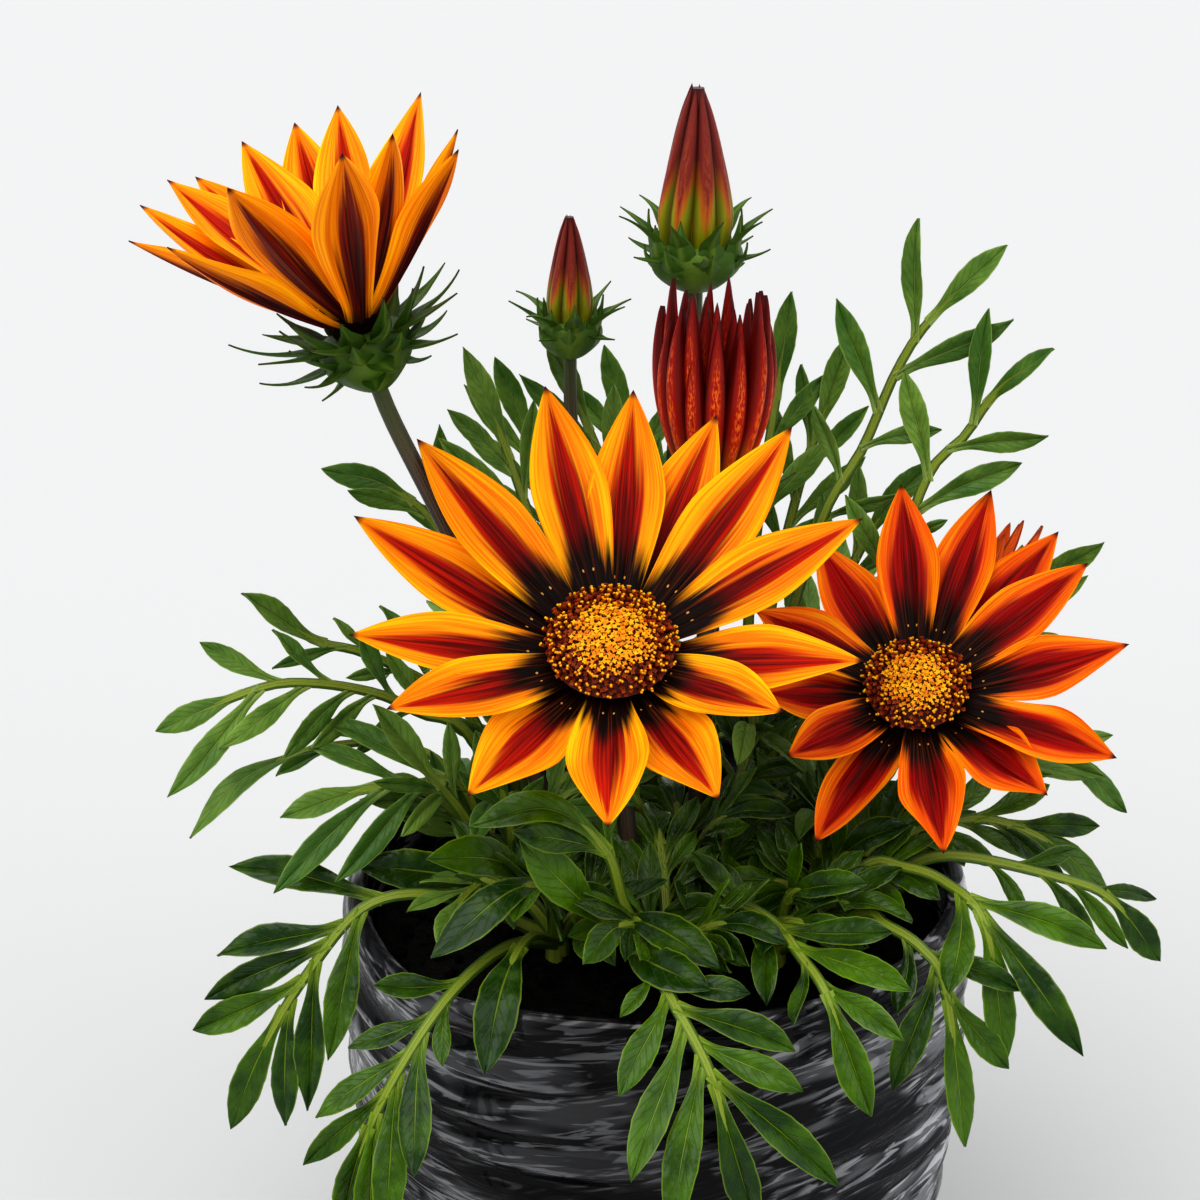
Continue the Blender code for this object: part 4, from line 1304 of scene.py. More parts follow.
def upright(
    base: float, count: int, radius: float, start: float, rise: tuple, length: float,
    width: float, first: float,
) -> Bracts:
    """A ring of broad bracts that lie against the foot of the rays.

    Args:
        base: The height of the cup's top.
        count: How many bracts.
        radius: How far out they stand.
        start: Their feet below the base.
        rise: Their slope at the foot and at the tip.
        length: The length of the longer ones.
        width: Their width.
        first: The azimuth of the first.

    Returns:
        The whorl.
    """
    return Bracts(
        (radius, base + start), rise, length, width * 1.35, 0.9, whorl(count, first, (1.0, 0.8)),
        thick=0.7, wave=0.1, wild=1.2,
    )


HEADS = (
    Head(
        name="main_bloom",
        centre=(-9, -26, 168),
        axis=(0, -0.545, 0.839),
        rays=(Whorl(
            root=(4.0, -1.6), rise=(10, 24), length=47, width=14.2, fold=1.7,
            placed=(
                (24, 1.0, 0), (50, 1.07, 1), (67, 1.0, 2), (84, 1.02, 1), (104, 1.06, 0),
                (132, 1.06, 1), (154, 1.02, 2), (183, 0.9, 1), (207, 0.86, 0), (235, 0.8, 1),
                (268, 0.82, 0), (298, 0.74, 1), (329, 0.67, 0), (351, 0.87, 1),
            ),
            ruffle=1.4,
        ),),
        plate=(6.8, 4.8), disc=11.8, florets=560,
        cup=((8.4, 0.0), (8.8, -3.0), (7.6, -7.0), (4.4, -10.5), (2.0, -13.0)),
        bracts=bract_rings(-5.9, 7.0, ((9, -3.0, (-4, 30), 12, 2.6), (5, -6.5, (-30, 20), 8, 2.6))),
        extra=(upright(-5.9, 9, 8.2, -3.0, (10, 40), 8, 3.4, 20),),
        scape=((-5, -10, 98), (-5.5, -9, 120), (-7.5, -9.5, 138)),
        scape_radius=(1.9, 1.6),
        finishes=("main front", "main back"), slot="orange_rays",
    ),
    Head(
        name="right_bloom",
        centre=(49, -1, 149),
        axis=(-0.12, -0.565, 0.816),
        rays=(Whorl(
            root=(3.6, -1.5), rise=(8, 18), length=40, width=12.2, fold=1.6,
            placed=(
                (4, 0.92, 1), (33, 0.94, 0), (47, 0.98, 2), (68, 1.04, 1), (89, 1.0, 0),
                (119, 0.84, 1), (150, 0.78, 0), (180, 0.66, 1), (212, 0.66, 0), (238, 0.88, 1),
                (272, 0.86, 0), (310, 0.74, 1), (330, 0.94, 0),
            ),
            wave=0.8, wild=1.4, ruffle=2.0,
        ),),
        plate=(6.2, 4.7), disc=9.8, florets=420,
        cup=((7.4, 0.0), (7.8, -2.6), (6.6, -6.0), (3.8, -9.4), (1.9, -11.5)),
        bracts=bract_rings(-5.7, 6.2, ((9, -2.8, (-4, 30), 11, 2.4), (5, -6.0, (-30, 20), 7, 2.4))),
        extra=(upright(-5.7, 9, 7.2, -2.8, (8, 36), 7, 3.2, 20),),
        scape=((35, 2, 98), (37, 6, 112), (44, 13, 126)),
        scape_radius=(1.7, 1.5),
        finishes=("red front", "red back"), slot="red_orange_rays",
    ),
    Head(
        name="half_open_bloom",
        centre=(-55, 0.5, 222),
        axis=(-0.31, 0.04, 0.95),
        rays=(Whorl(
            root=(3.6, -0.6), rise=(37, 49), length=45.5, width=12.6, fold=2.2,
            placed=(
                (-7, 0.8, 0), (60, 1.04, 1), (83, 1.03, 0), (99, 1.06, 1), (113, 1.0, 0),
                (126, 1.0, 1), (141, 0.98, 0), (158, 0.94, 1), (202, 0.86, 0), (227, 0.84, 1),
                (260, 1.06, 0), (289, 1.14, 1), (308, 1.0, 0), (330, 0.86, 1),
            ),
            wave=0.7, wild=1.5,
        ),),
        plate=(5.8, 3.6), disc=4.4, florets=60,
        cup=((7.6, 0.0), (8.4, -2.6), (7.6, -6.0), (4.8, -9.0), (2.0, -11.0)),
        bracts=bract_rings(-3.7, 7.4, (
            (10, -1.4, (10, 30), 15, 2.8), (7, -4.6, (-14, 22), 13, 2.8), (4, -7.0, (-35, 0), 7, 2.8),
        )),
        extra=(upright(-3.7, 10, 7.9, -1.6, (44, 58), 11, 3.8, 16),
               upright(-3.7, 8, 7.2, -4.4, (20, 62), 8, 4.0, 0)),
        scape=((-17, 0, 98), (-21, 0, 122), (-34, 0, 168)),
        scape_radius=(1.8, 1.5),
        finishes=("half front", "half back"), slot="orange_rays",
    ),
    Head(
        name="dark_head",
        centre=(10.5, 21, 186),
        axis=(0.03, 0.04, 1),
        rays=(
            Rolls(root=(4.8, -0.8), rise=(64, 98), length=34, width=4.1,
                  placed=whorl(15, 4.0, (0.9, 1.0, 0.84, 0.95)),
                  thick=4.0, wave=0.2, wild=0.9),
            Rolls(root=(3.4, -0.8), rise=(68, 95), length=35.5, width=4.2,
                  placed=whorl(13, 18.0, (1.0, 0.93, 1.04)),
                  thick=3.4, wave=0.2, wild=0.6),
            Rolls(root=(1.6, -0.8), rise=(76, 92), length=33, width=4.8,
                  placed=whorl(6, 0.0), thick=3.2, wave=0.2, wild=0.6),
        ),
        plate=(7.4, 3.6), disc=0.0, florets=0,
        cup=((8.6, 0.0), (9.2, -3.0), (8.0, -7.0), (4.8, -10.5), (2.0, -13.0)),
        bracts=bract_rings(-3.9, 7.8, ((9, -2.4, (20, 50), 10, 2.4),)),
        extra=(upright(-3.9, 10, 8.6, -2.6, (70, 84), 9, 4.0, 0),),
        scape=((8, 14, 98), (9, 16, 130), (10, 19, 156)),
        scape_radius=(1.9, 1.7),
        finishes=("dark roll", "dark roll"), slot="dark_red_rays",
    ),
    Head(
        name="small_head",
        centre=(62, 33, 149),
        axis=(0.34, 0.1, 0.93),
        rays=(
            Rolls(root=(1.6, -0.4), rise=(62, 90), length=25, width=5.2,
                  placed=whorl(7, 10.0, (1.0, 0.9)),
                  thick=2.4, wave=0.3, wild=1.2),
            Rolls(root=(0.8, -0.4), rise=(70, 92), length=24, width=4.4,
                  placed=whorl(4, 30.0), thick=2.2, wave=0.3, wild=1.0),
        ),
        plate=(3.4, 2.6), disc=0.0, florets=0,
        cup=((4.6, 0.0), (5.0, -2.0), (4.4, -5.0), (1.6, -8.0)),
        bracts=bract_rings(-2.5, 4.2, ((7, -1.4, (10, 50), 8, 2.0),)),
        extra=(upright(-2.5, 7, 4.6, -1.6, (60, 84), 6, 2.6, 0),),
        scape=((36, 28, 98), (42, 30, 115), (54, 32, 131)),
        scape_radius=(1.5, 1.3),
        finishes=("orange roll", "orange roll"), slot="orange_rays",
    ),
)


@dataclass(frozen=True)
class Bud:
    """A closed bud's table: a cone of rolled rays on an involucre and a scape."""

    name: str
    base: tuple
    cone: tuple
    ridges: int
    cup: tuple
    bracts: tuple
    extra: tuple
    scape: tuple
    scape_radius: tuple

    def build(self, finishes: Looks, chance: Chance) -> None:
        """Makes the rolled rays round a core, then the involucre.

        A roll's middle line stands at 0.62 of the cone's radius and turns slowly as it climbs; its
        half-width and thickness are shares of that radius, so neighbours touch along a groove.

        Args:
            finishes: Every material by its name.
            chance: The random source.
        """
        place = Place(self.base, (0, 0, 1))
        skin = Skin()
        profile = np.array(list(reversed(self.cone)), float)
        rows = 26
        share = np.linspace(0, 1, rows)
        height = share * profile[-1, 1]
        radius = np.interp(height, profile[:, 1], profile[:, 0])
        radius = np.convolve(np.pad(radius, 2, mode="edge"), np.full(5, 0.2), mode="valid")
        core = grid(np.maximum(radius * 0.7, 0.15), height * 0.97)
        skin.add(place.out(turned_rings(core, 20)), turned_uv(rows, 20) * [0.2, 1], LONE_SEED)
        section = Section(10, 2.0)
        count = self.ridges
        for first, reach, scale in ((0.0, 1.0, 1.0), (0.5, 0.9, 0.8)):
            angle = (np.arange(count) + first) * 2 * np.pi / count + 0.2
            rolled = np.maximum(radius * scale, 0.55)
            away = outward(angle[:, None] + 0.28 * share)
            tall = reach * chance.uniform(0.96, 1.0, (count, 1))
            spine = away * (0.62 * rolled)[None, :, None]
            spine[..., 2] = height[None] * tall
            point = (1 - share**9) ** 0.6
            half = 1.18 * np.sin(np.pi / count) * 0.74 * rolled * point
            rings = section.rings(
                spine, away, np.tile(half, (count, 1)), np.tile(0.76 * rolled * point, (count, 1))
            )
            skin.add(place.out(rings), section.uv(share), chance.uniform(0, 1, count))
        obj = skin.build(f"{self.name}_rolled_rays", [finishes["bud roll"]])
        show(obj, "bud_petals", f"{self.name}_petals")
        Involucre(
            self.name, place, -GAP, self.cup, self.bracts + self.extra, self.scape,
            self.scape_radius, finishes["bract light"], finishes["scape"],
        ).build(chance)


BUDS = (
    Bud(
        name="tall_bud",
        base=(8, 52, 222.5),
        cone=((1.5, 31.0), (2.6, 28.5), (4.4, 22.0), (6.9, 11.0), (8.0, 4.0), (6.8, 0.0)),
        ridges=8,
        cup=((8.0, 0.0), (9.2, -2.4), (8.4, -5.6), (5.4, -8.4), (1.9, -10.0)),
        bracts=bract_rings(-GAP, 7.8, (
            (9, -1.4, (62, 24), 11, 2.4), (6, -3.6, (10, 30), 9, 2.6), (3, -5.6, (-20, 40), 6, 3.0),
        )),
        extra=(upright(-GAP, 9, 8.6, -2.6, (76, 92), 9, 4.4, 10),
               upright(-GAP, 7, 8.0, -5.2, (40, 90), 7, 4.4, 30)),
        scape=((12, 34, 98), (12, 38, 140), (9, 50, 190)),
        scape_radius=(1.8, 1.6),
    ),
    Bud(
        name="small_bud",
        base=(-17, 58, 205),
        cone=((1.0, 21.5), (1.8, 19.5), (3.1, 14.0), (4.6, 6.5), (5.0, 2.0), (4.2, 0.0)),
        ridges=7,
        cup=((5.4, 0.0), (6.4, -2.0), (6.0, -4.4), (4.0, -6.6), (1.6, -8.0)),
        bracts=bract_rings(-GAP, 5.4, ((8, -1.2, (50, 16), 9, 2.0), (4, -3.0, (0, 24), 7, 2.2))),
        extra=(upright(-GAP, 8, 5.9, -2.0, (76, 92), 7, 3.4, 10),
               upright(-GAP, 6, 5.4, -4.0, (40, 88), 5, 3.4, 30)),
        scape=((-12, 40, 98), (-13, 46, 135), (-16.5, 56, 178)),
        scape_radius=(1.6, 1.3),
    ),
)


# Leaves

CAMERA_SIDE = (0, -0.75, 0.66)
UPWARD = (0, -0.3, 0.95)


@dataclass(frozen=True)
class Leaf:
    """A pinnate leaf: its midrib's route, the way its face looks, and its lobes' lengths and angles.

    right and left hold the lobes' lengths from the foot up; without left, both sides are alike. spread
    holds the two sides' angles from the midrib at the foot, which close towards the tip by closing.
    bare is the share of the route before the first lobe, and terminal the length of the end lobe.
    """

    route: tuple
    face: tuple = CAMERA_SIDE
    right: tuple = ()
    left: tuple | None = None
    spread: tuple = (56.0, 56.0)
    bare: float = 0.4
    terminal: float = 20.0
    closing: float = 0.42

    def slots(self) -> list[tuple[float, int, float]]:
        """The place, side and length of each lobe, from the leaf's foot to its tip."""
        left = self.right if self.left is None else self.left
        return sorted(
            ((i + start) / len(lengths), side, length)
            for start, side, lengths in ((0.25, 1, self.right), (0.75, -1, left))
            for i, length in enumerate(lengths)
        )


class Foliage:
    """Gathers the ribs and lobes of one shoot's leaves."""

    def __init__(self, chance: Chance, broad: float) -> None:
        """Starts with no lobe.

        Args:
            chance: The random source.
            broad: What every lobe's width is multiplied by.
        """
        self.chance = chance
        self.broad = broad
        self.skin = Skin()
        self.lobes: list[tuple] = []

    def add_leaf(self, leaf: Leaf, crown: tuple) -> None:
        """Adds a leaf's rib and its lobes, at the stations that the solids have.

        Args:
            leaf: The leaf.
            crown: Where the shoot stands.
        """
        dense, walked = walk([(*crown, CROWN_HEIGHT), *leaf.route])
        tip_share = leaf.terminal / walked[-1]
        slots = leaf.slots()
        stations = np.linspace(leaf.bare, 1 - tip_share, len(slots) + 1)
        face = np.array(leaf.face, float)
        self.add_rib(dense, walked, face, 1 - tip_share)
        points = at(dense, walked, stations)
        tangents = tangents_at(dense, walked, stations)
        normals = unit(face - (tangents @ face)[:, None] * tangents)
        sides = np.cross(tangents, normals)
        for slot, (share, side, length) in enumerate(slots):
            middle = (points[slot] + points[slot + 1]) / 2
            angle = math.radians(leaf.spread[0 if side > 0 else 1] * (1 - leaf.closing * share))
            ahead = math.cos(angle) * tangents[slot] + side * math.sin(angle) * sides[slot]
            self.lobes.append((middle, ahead, tangents[slot], normals[slot], length))
        broad = 1.12 if slots else 1.4
        self.add_terminal(dense, walked, face, tip_share, leaf.terminal, broad)

    def add_rib(self, dense: Array, walked: Array, face: Array, end: float) -> None:
        """Carries a flat grooved section up the midrib, ending in a point inside the end lobe.

        The half-width falls evenly along the midrib, less near the end, and swells at the foot by an
        exponential of the square of the place along. The groove is one of the place across.

        Args:
            dense: The midrib's dense points.
            walked: The length walked at each of them.
            face: The way the leaf looks.
            end: The share of the midrib before the end lobe.
        """
        share = np.linspace(0, min(end + 0.12, 0.98), 34)
        spine = at(dense, walked, share)[None]
        section = Section(8, 2.4)
        half = np.interp(share, (0, 1), RACHIS_HALF_WIDTH)[None] * 1.05
        half = half * (1 - smooth(0.88, 1.0, share / share[-1]) * 0.8)[None]
        half = half * (1 + 0.5 * np.exp(-((share / 0.07) ** 2)))[None]
        normal = np.broadcast_to(face, spine.shape)
        groove = -0.28 * np.exp(-((section.across() / 0.3) ** 2)) * (section.face() > 0)
        rings = section.rings(spine, normal, half, half * 1.15, groove)
        self.skin.add(rings, section.uv(share), self.chance.uniform(0, 1, 1), 2)

    def add_terminal(
        self, dense: Array, walked: Array, face: Array, tip_share: float, length: float, broad: float
    ) -> None:
        """Adds the lobe that ends the leaf, its middle line on the midrib's own route.

        Args:
            dense: The midrib's dense points.
            walked: The length walked at each of them.
            face: The way the leaf looks.
            tip_share: The lobe's share of the midrib.
            length: The lobe's length.
            broad: What its width is multiplied by.
        """
        t = np.linspace(0, 1, 24)
        spine = at(dense, walked, 1 - tip_share * (1.12 * (1 - t)))[None]
        self.blade(spine, np.broadcast_to(face, spine.shape), t, np.array([length * 1.05]), broad)

    def blade(self, spine: Array, normal: Array, t: Array, length: Array, broad: float) -> None:
        """Adds lobes about their middle lines.

        The half-width is a sine of the place along, skewed towards the tip, over a narrow winged stalk,
        with small teeth on its outer half. The blade folds up a little along its midvein.

        Args:
            spine: N x rows x 3.
            normal: N x rows x 3, the way the front looks.
            t: The place along of each row.
            length: N lengths.
            broad: What the widths are multiplied by.
        """
        number = len(spine)
        section = Section(8, 4.0)
        body = np.sin(np.pi * t**1.42) ** 0.82
        stalk = 0.42 * (1 - smooth(0.0, 0.35, t))
        shape = np.sqrt(body**2 + stalk**2)
        tooth = np.mod(t * 6.5 + 0.4, 1.0) * smooth(0.3, 0.5, t) * (1 - smooth(0.85, 0.98, t))
        widest = LOBE_HALF_WIDTH * self.broad * broad * np.minimum(1.0, length / 18)
        half = widest[:, None] * (shape * (1 + 0.07 * tooth))
        half[:, -1] = 0.06
        twist = self.chance.uniform(-0.7, 0.7, (number, 1, 1)) * t[None, :, None]
        tangent = unit(np.gradient(spine, axis=1))
        normal = unit(normal - (normal * tangent).sum(-1, keepdims=True) * tangent)
        normal = unit(normal + twist * np.cross(tangent, normal))
        across = section.across()
        fold = self.chance.uniform(0.15, 0.6, (number, 1, 1))
        lift = half[..., None] * (fold * np.abs(across) - 0.1 * across**4)
        lift = lift - 0.14 * np.exp(-((across / 0.16) ** 2))
        rim = self.chance.uniform(-0.35, 0.35, (number, 1, 1))
        ripple = np.sin(2 * np.pi * (1.6 * t[None, :, None] + rim))
        lift = lift + rim * ripple * across**2 * np.sign(across)
        rings = section.rings(spine, normal, half, np.full_like(half, 0.55), lift)
        seeds = self.chance.uniform(0, 1, number)
        self.skin.add(rings, section.uv(t), seeds, section.slots())

    def add_lobes(self) -> None:
        """Adds every gathered lobe at once.

        Its middle line is the solids': a straight run that bows towards the leaf's tip and droops with
        the square of the place along. Its first part starts a little back along the midrib.
        """
        if not self.lobes:
            return
        middle, ahead, tangent, normal, length = (
            np.array(column, float) for column in zip(*self.lobes)
        )
        number = len(length)
        t = np.linspace(0, 1, 22)
        run = t[None, :, None]
        up = np.array([0.0, 0.0, 1.0])
        long = length[:, None, None]
        bow = LOBE_BOW + (0.1 if self.broad < 1 else 0.0)
        spine = middle[:, None] + long * (run * ahead[:, None] + bow * run**2 * tangent[:, None])
        sag = LOBE_DROOP * self.chance.uniform(-0.4, 2.2, number)
        spine = spine - up * (sag * length / 20)[:, None, None] * run**2
        hook = self.chance.uniform(-0.1, 0.2, number) * length
        spine = spine + hook[:, None, None] * run**3 * tangent[:, None]
        spine = spine - 3.0 * (1 - run) ** 4 * tangent[:, None]
        self.blade(spine, np.broadcast_to(normal[:, None], spine.shape), t, length, 1.12)


@dataclass(frozen=True)
class Shoot:
    """A short leafy stem that stands in the soil, with its leaves and small inner leaves.

    reach and lift bound how far out and how high the inner leaves go.
    """

    name: str
    crown: tuple
    leaves: tuple
    # pale gives the lobes a paler copy of the leaf green, painted back light that stands for the bright
    # backdrop blurring into the far leaves. It also narrows their lobes.
    pale: bool = False
    reach: tuple = (18.0, 36.0)
    lift: tuple = (4.0, 16.0)

    def build(self, finishes: Looks, chance: Chance) -> None:
        """Makes the stem, the leaves of the solids and the small inner leaves.

        Args:
            finishes: Every material by its name.
            chance: The random source.
        """
        foliage = Foliage(chance, 0.84 if self.pale else 1.0)
        for leaf in self.leaves:
            foliage.add_leaf(leaf, self.crown)
        for i in range(INNER_LEAVES):
            foliage.add_leaf(self.inner_leaf(i, chance), self.crown)
        foliage.add_lobes()
        rows = 8
        profile = grid(
            np.linspace(SHOOT_RADIUS, SHOOT_RADIUS * 0.6, rows), np.linspace(88.3, 107.5, rows)
        )
        rings = turned_rings(profile, 14) + np.array([*self.crown, 0.0])
        foliage.skin.add(rings, turned_uv(rows, 14), LONE_SEED, 2)
        # Pale shoots take the paler copy of the leaf green: painted back light on the far leaves.
        front = finishes["lobe painted back light" if self.pale else "lobe"]
        looks = [front, finishes["lobe back"], finishes["rib"]]
        show(foliage.skin.build(f"{self.name}_leaves", looks), "leaves", self.name)

    def inner_leaf(self, index: int, chance: Chance) -> Leaf:
        """A small leaf on an arc up and out of the crown, within the plant's spread.

        Args:
            index: Which of the inner leaves.
            chance: The random source.

        Returns:
            The leaf.
        """
        away = 2 * np.pi * (index + chance.uniform(0.2, 0.8)) / INNER_LEAVES
        reach = chance.uniform(*self.reach)
        lift = chance.uniform(*self.lift)
        way = np.array([math.cos(away), math.sin(away)])
        start = np.array(self.crown, float)
        pull = 0.5 if np.linalg.norm(start + way * reach) > SPREAD_LIMIT else 1.0
        steps = ((0.25, 0.5), (0.65, 0.95), (1.0, 0.85))
        route = tuple(
            (*(start + way * reach * pull * out), CROWN_HEIGHT + 4 + lift * rise / pull**0.5)
            for out, rise in steps
        )
        size = chance.uniform(9, 14, 6)
        return Leaf(
            route, (0, -0.55, 0.84), right=tuple(size[:3]), left=tuple(size[3:]), bare=0.35,
            terminal=15, spread=(62, 62),
        )


SHOOTS = (
    Shoot("shoot_left_front", (-19, -17), (
        Leaf(((-38, -17, 113), (-54, -20, 113.5), (-66, -25, 101), (-75, -29, 86), (-81, -31, 71)),
             right=(24, 19, 20, 20), left=(20, 20, 20), spread=(56, 58), terminal=24),
        Leaf(((-28, -30, 110), (-37, -46, 110.5), (-46, -56, 101), (-53, -60, 87), (-57, -61, 72)),
             right=(14, 13, 15, 14), left=(10, 20, 23, 18), spread=(54, 46), terminal=18),
        Leaf(((-24, -32, 113), (-28, -50, 114), (-31, -61, 103)),
             (0, -0.5, 0.86), bare=0.5, terminal=26),
        Leaf(((-20, -28, 120), (-27, -36, 125), (-41, -44, 116)), bare=0.5, terminal=26),
        Leaf(((-21, -20, 116), (-30, -28, 127), (-42, -35, 131)), terminal=24),
        Leaf(((-26, -13, 112), (-41, -13, 116), (-57, -15, 119)), terminal=26),
    )),
    Shoot("shoot_left", (-30, 0), (
        Leaf(((-37, -2, 128.5), (-46, -5, 131), (-55, -8, 131.5), (-71, -13, 128)),
             right=(12, 20, 16), left=(13, 17, 22), spread=(80, 84), closing=0.6, terminal=17),
        Leaf(((-40, 5, 128), (-50, 6, 134), (-61, 3, 135.5), (-70, 0, 134.5), (-80, -5, 131),
              (-89, -9, 121.5)),
             UPWARD, right=(11,), bare=0.5, terminal=28),
        Leaf(((-36, -4, 122), (-44, -8, 136), (-53, -10, 150)), right=(12,), bare=0.5),
        Leaf(((-28, -5, 120), (-30, -10, 134), (-34, -13, 146)), right=(11,), bare=0.5, terminal=18),
    ), pale=True, reach=(26.0, 46.0), lift=(8.0, 30.0)),
    Shoot("shoot_left_back", (-26, 22), (
        Leaf(((-37, 17, 131), (-46, 14, 137), (-54, 9, 143.5), (-66, 3, 148.5), (-76, -1, 149),
              (-94, -9, 144)),
             right=(12, 13, 12, 14), left=(12, 14, 15, 16, 19),
             spread=(66, 72), closing=0.35, terminal=16),
        Leaf(((-37, 24, 132), (-47, 22, 141), (-58, 18, 148.5), (-67, 14, 153), (-79, 8, 165)),
             right=(17, 9), left=(9, 10), bare=0.46, terminal=19),
        Leaf(((-33, 34, 135), (-42, 39, 163), (-52, 36, 176), (-66, 34, 181)),
             right=(14, 16), left=(14, 14), bare=0.55, terminal=18),
    ), pale=True, reach=(26.0, 46.0), lift=(8.0, 30.0)),
    Shoot("shoot_back", (0, 38), (
        Leaf(((-10, 33, 128), (-22, 38, 160), (-31, 42, 186), (-38, 44, 203)),
             right=(14, 16, 14), left=(14, 18, 14), bare=0.5, terminal=22),
        Leaf(((0, 56, 125), (-3, 68, 155), (-6, 76, 178), (-10, 80, 193)),
             right=(16, 18, 16), bare=0.55, spread=(66, 66)),
        Leaf(((-12, 53, 130), (-21, 63, 158), (-27, 69, 178), (-33, 71, 193)),
             right=(15, 17, 15), bare=0.6, spread=(66, 66)),
        Leaf(((-2, 50, 130), (-6, 58, 160), (-14, 62, 182), (-22, 64, 200)),
             right=(15, 17, 15), bare=0.45),
        Leaf(((-16, 44, 130), (-28, 48, 150), (-40, 50, 166), (-50, 50, 178)),
             right=(15, 17, 15)),
        Leaf(((-18, 58, 122), (-36, 68, 130), (-50, 73, 128), (-60, 76, 116)), UPWARD,
             right=(16, 18, 14), bare=0.45),
    ), pale=True, reach=(26.0, 46.0), lift=(20.0, 60.0)),
    Shoot("shoot_back_right", (22, 28), (
        Leaf(((25, 34, 135), (33, 33, 170), (41, 35, 185), (47, 35, 201), (53, 33, 212), (66, 30, 227)),
             right=(12, 13, 19), left=(14, 19, 18), spread=(76, 78), bare=0.5, terminal=19),
        Leaf(((28, 46, 122), (40, 60, 138), (52, 70, 144), (62, 78, 136)), UPWARD,
             right=(16, 18, 14), bare=0.45),
        Leaf(((24, 48, 138), (30, 55, 168), (36, 57, 188), (40, 57, 202)),
             right=(14, 16, 14), bare=0.5),
        Leaf(((20, 46, 140), (23, 54, 172), (26, 58, 193), (28, 60, 210)),
             right=(15, 17, 15), bare=0.45),
        Leaf(((30, 36, 130), (38, 40, 152), (46, 42, 168), (56, 42, 180)),
             right=(15, 17, 15), bare=0.35),
    ), pale=True, reach=(26.0, 46.0), lift=(20.0, 60.0)),
    Shoot("shoot_right", (36, 14), (
        Leaf(((42, 24, 138), (52, 29, 178), (60, 28, 190), (65, 26, 199), (74, 19, 210)),
             right=(10, 8, 20, 15), left=(16, 18, 16), spread=(70, 66), bare=0.42, terminal=17),
        Leaf(((53, 20, 116), (66, 34, 134), (78, 45, 150), (92, 43, 162)),
             right=(14, 14), left=(12, 14), bare=0.62),
        Leaf(((52, 20, 118), (70, 24, 124), (84, 24, 122), (96, 20, 112)), UPWARD,
             right=(14, 16, 14), bare=0.45),
    ), pale=True),
    Shoot("shoot_right_side", (33, -10), (
        Leaf(((46, -4, 118), (62, 0, 121), (76, -2, 117), (88, -5, 107)),
             right=(12, 13, 12), left=(14, 14, 14), spread=(54, 46), terminal=20),
        Leaf(((44, -13, 115), (55, -14, 120.5), (77, -14, 115.5), (87, -13, 110), (97, -13, 97)),
             right=(9, 11, 11), left=(10, 10), spread=(64, 50), bare=0.45, terminal=17),
        Leaf(((34, -12, 117), (39, -14, 124), (47, -16, 128)), right=(10,), bare=0.5, terminal=16),
    )),
    Shoot("shoot_right_front", (22, -20), (
        Leaf(((38, -18, 120), (45, -24, 123.5), (52, -30, 123.5), (58, -40, 120), (62, -47, 96)),
             right=(19,), left=(20, 24), spread=(65, 82), closing=0.85, bare=0.6, terminal=25),
        Leaf(((37, -28, 116), (41, -33, 116.5), (47, -39, 115), (51, -44, 109), (55, -51, 81)),
             right=(13, 17), left=(14, 15), spread=(76, 50), closing=0.35, bare=0.45, terminal=25),
        Leaf(((24, -26, 118), (28, -31, 123), (37, -35, 126)), right=(10,), bare=0.5, terminal=16),
        Leaf(((22, -28, 114), (28, -36, 118), (37, -42, 117)), right=(9,), bare=0.5, terminal=16),
    )),
    Shoot("shoot_front", (2, -27), (
        Leaf(((-2, -45, 116.5), (1.5, -57, 115.5), (7.5, -67, 108), (11.5, -72, 96.5), (16, -73, 80)),
             right=(9, 16, 24, 21), left=(14, 18, 16, 22), spread=(78, 78), closing=0.46, bare=0.36,
             terminal=25),
        Leaf(((12, -26, 116), (20, -33, 117.5), (25, -45, 116.5), (29, -55, 114), (36, -65, 97)),
             right=(14, 11), left=(19, 19, 14), spread=(64, 56), bare=0.35, terminal=20),
        Leaf(((-6, -34, 120), (-10, -37, 134), (-20, -39, 143), (-34, -38, 139)),
             right=(12,), left=(16,), bare=0.55, terminal=26),
        Leaf(((-5, -35, 118), (0, -43, 121), (10, -51, 118)), terminal=22),
        Leaf(((-5, -38, 114), (-2, -49, 118), (8, -58, 118)), terminal=22),
        Leaf(((-6, -33, 114), (-14, -38, 124), (-25, -41, 138)), terminal=24),
    )),
    Shoot("shoot_centre", (6, 2), (
        Leaf(((9, -2, 118), (16, -5, 125), (26, -8, 126)), UPWARD, right=(12, 12), terminal=16),
        Leaf(((16, 8, 124), (21, 13, 144), (24, 15, 158)), right=(13, 13), terminal=18),
        Leaf(((-4, 6, 122), (-14, 8, 138), (-22, 10, 150)), right=(12, 12), terminal=16),
    )),
)


# Pot and soil


def wall_radius(height: Array) -> Array:
    """The pot's outer radius without its rings: a soft belly over a narrower foot.

    It rises with a quarter of a sine up to 0.8 of the height, and then falls with a square to the rim.

    Args:
        height: Heights above the foot.

    Returns:
        The radius at each.
    """
    share = np.asarray(height, float) / POT_HEIGHT
    rising = np.sin(np.minimum(share / 0.8, 1.0) * np.pi / 2)
    swell = FOOT_RADIUS + (BELLY_RADIUS - FOOT_RADIUS) * rising
    shoulder = np.maximum(0.0, (share - 0.8) / 0.2)
    return swell - (BELLY_RADIUS - RIM_RADIUS) * shoulder**2


def inner_radius(height: float) -> float:
    """The radius of the pot's inside."""
    return float(wall_radius(height)) - POT_WALL


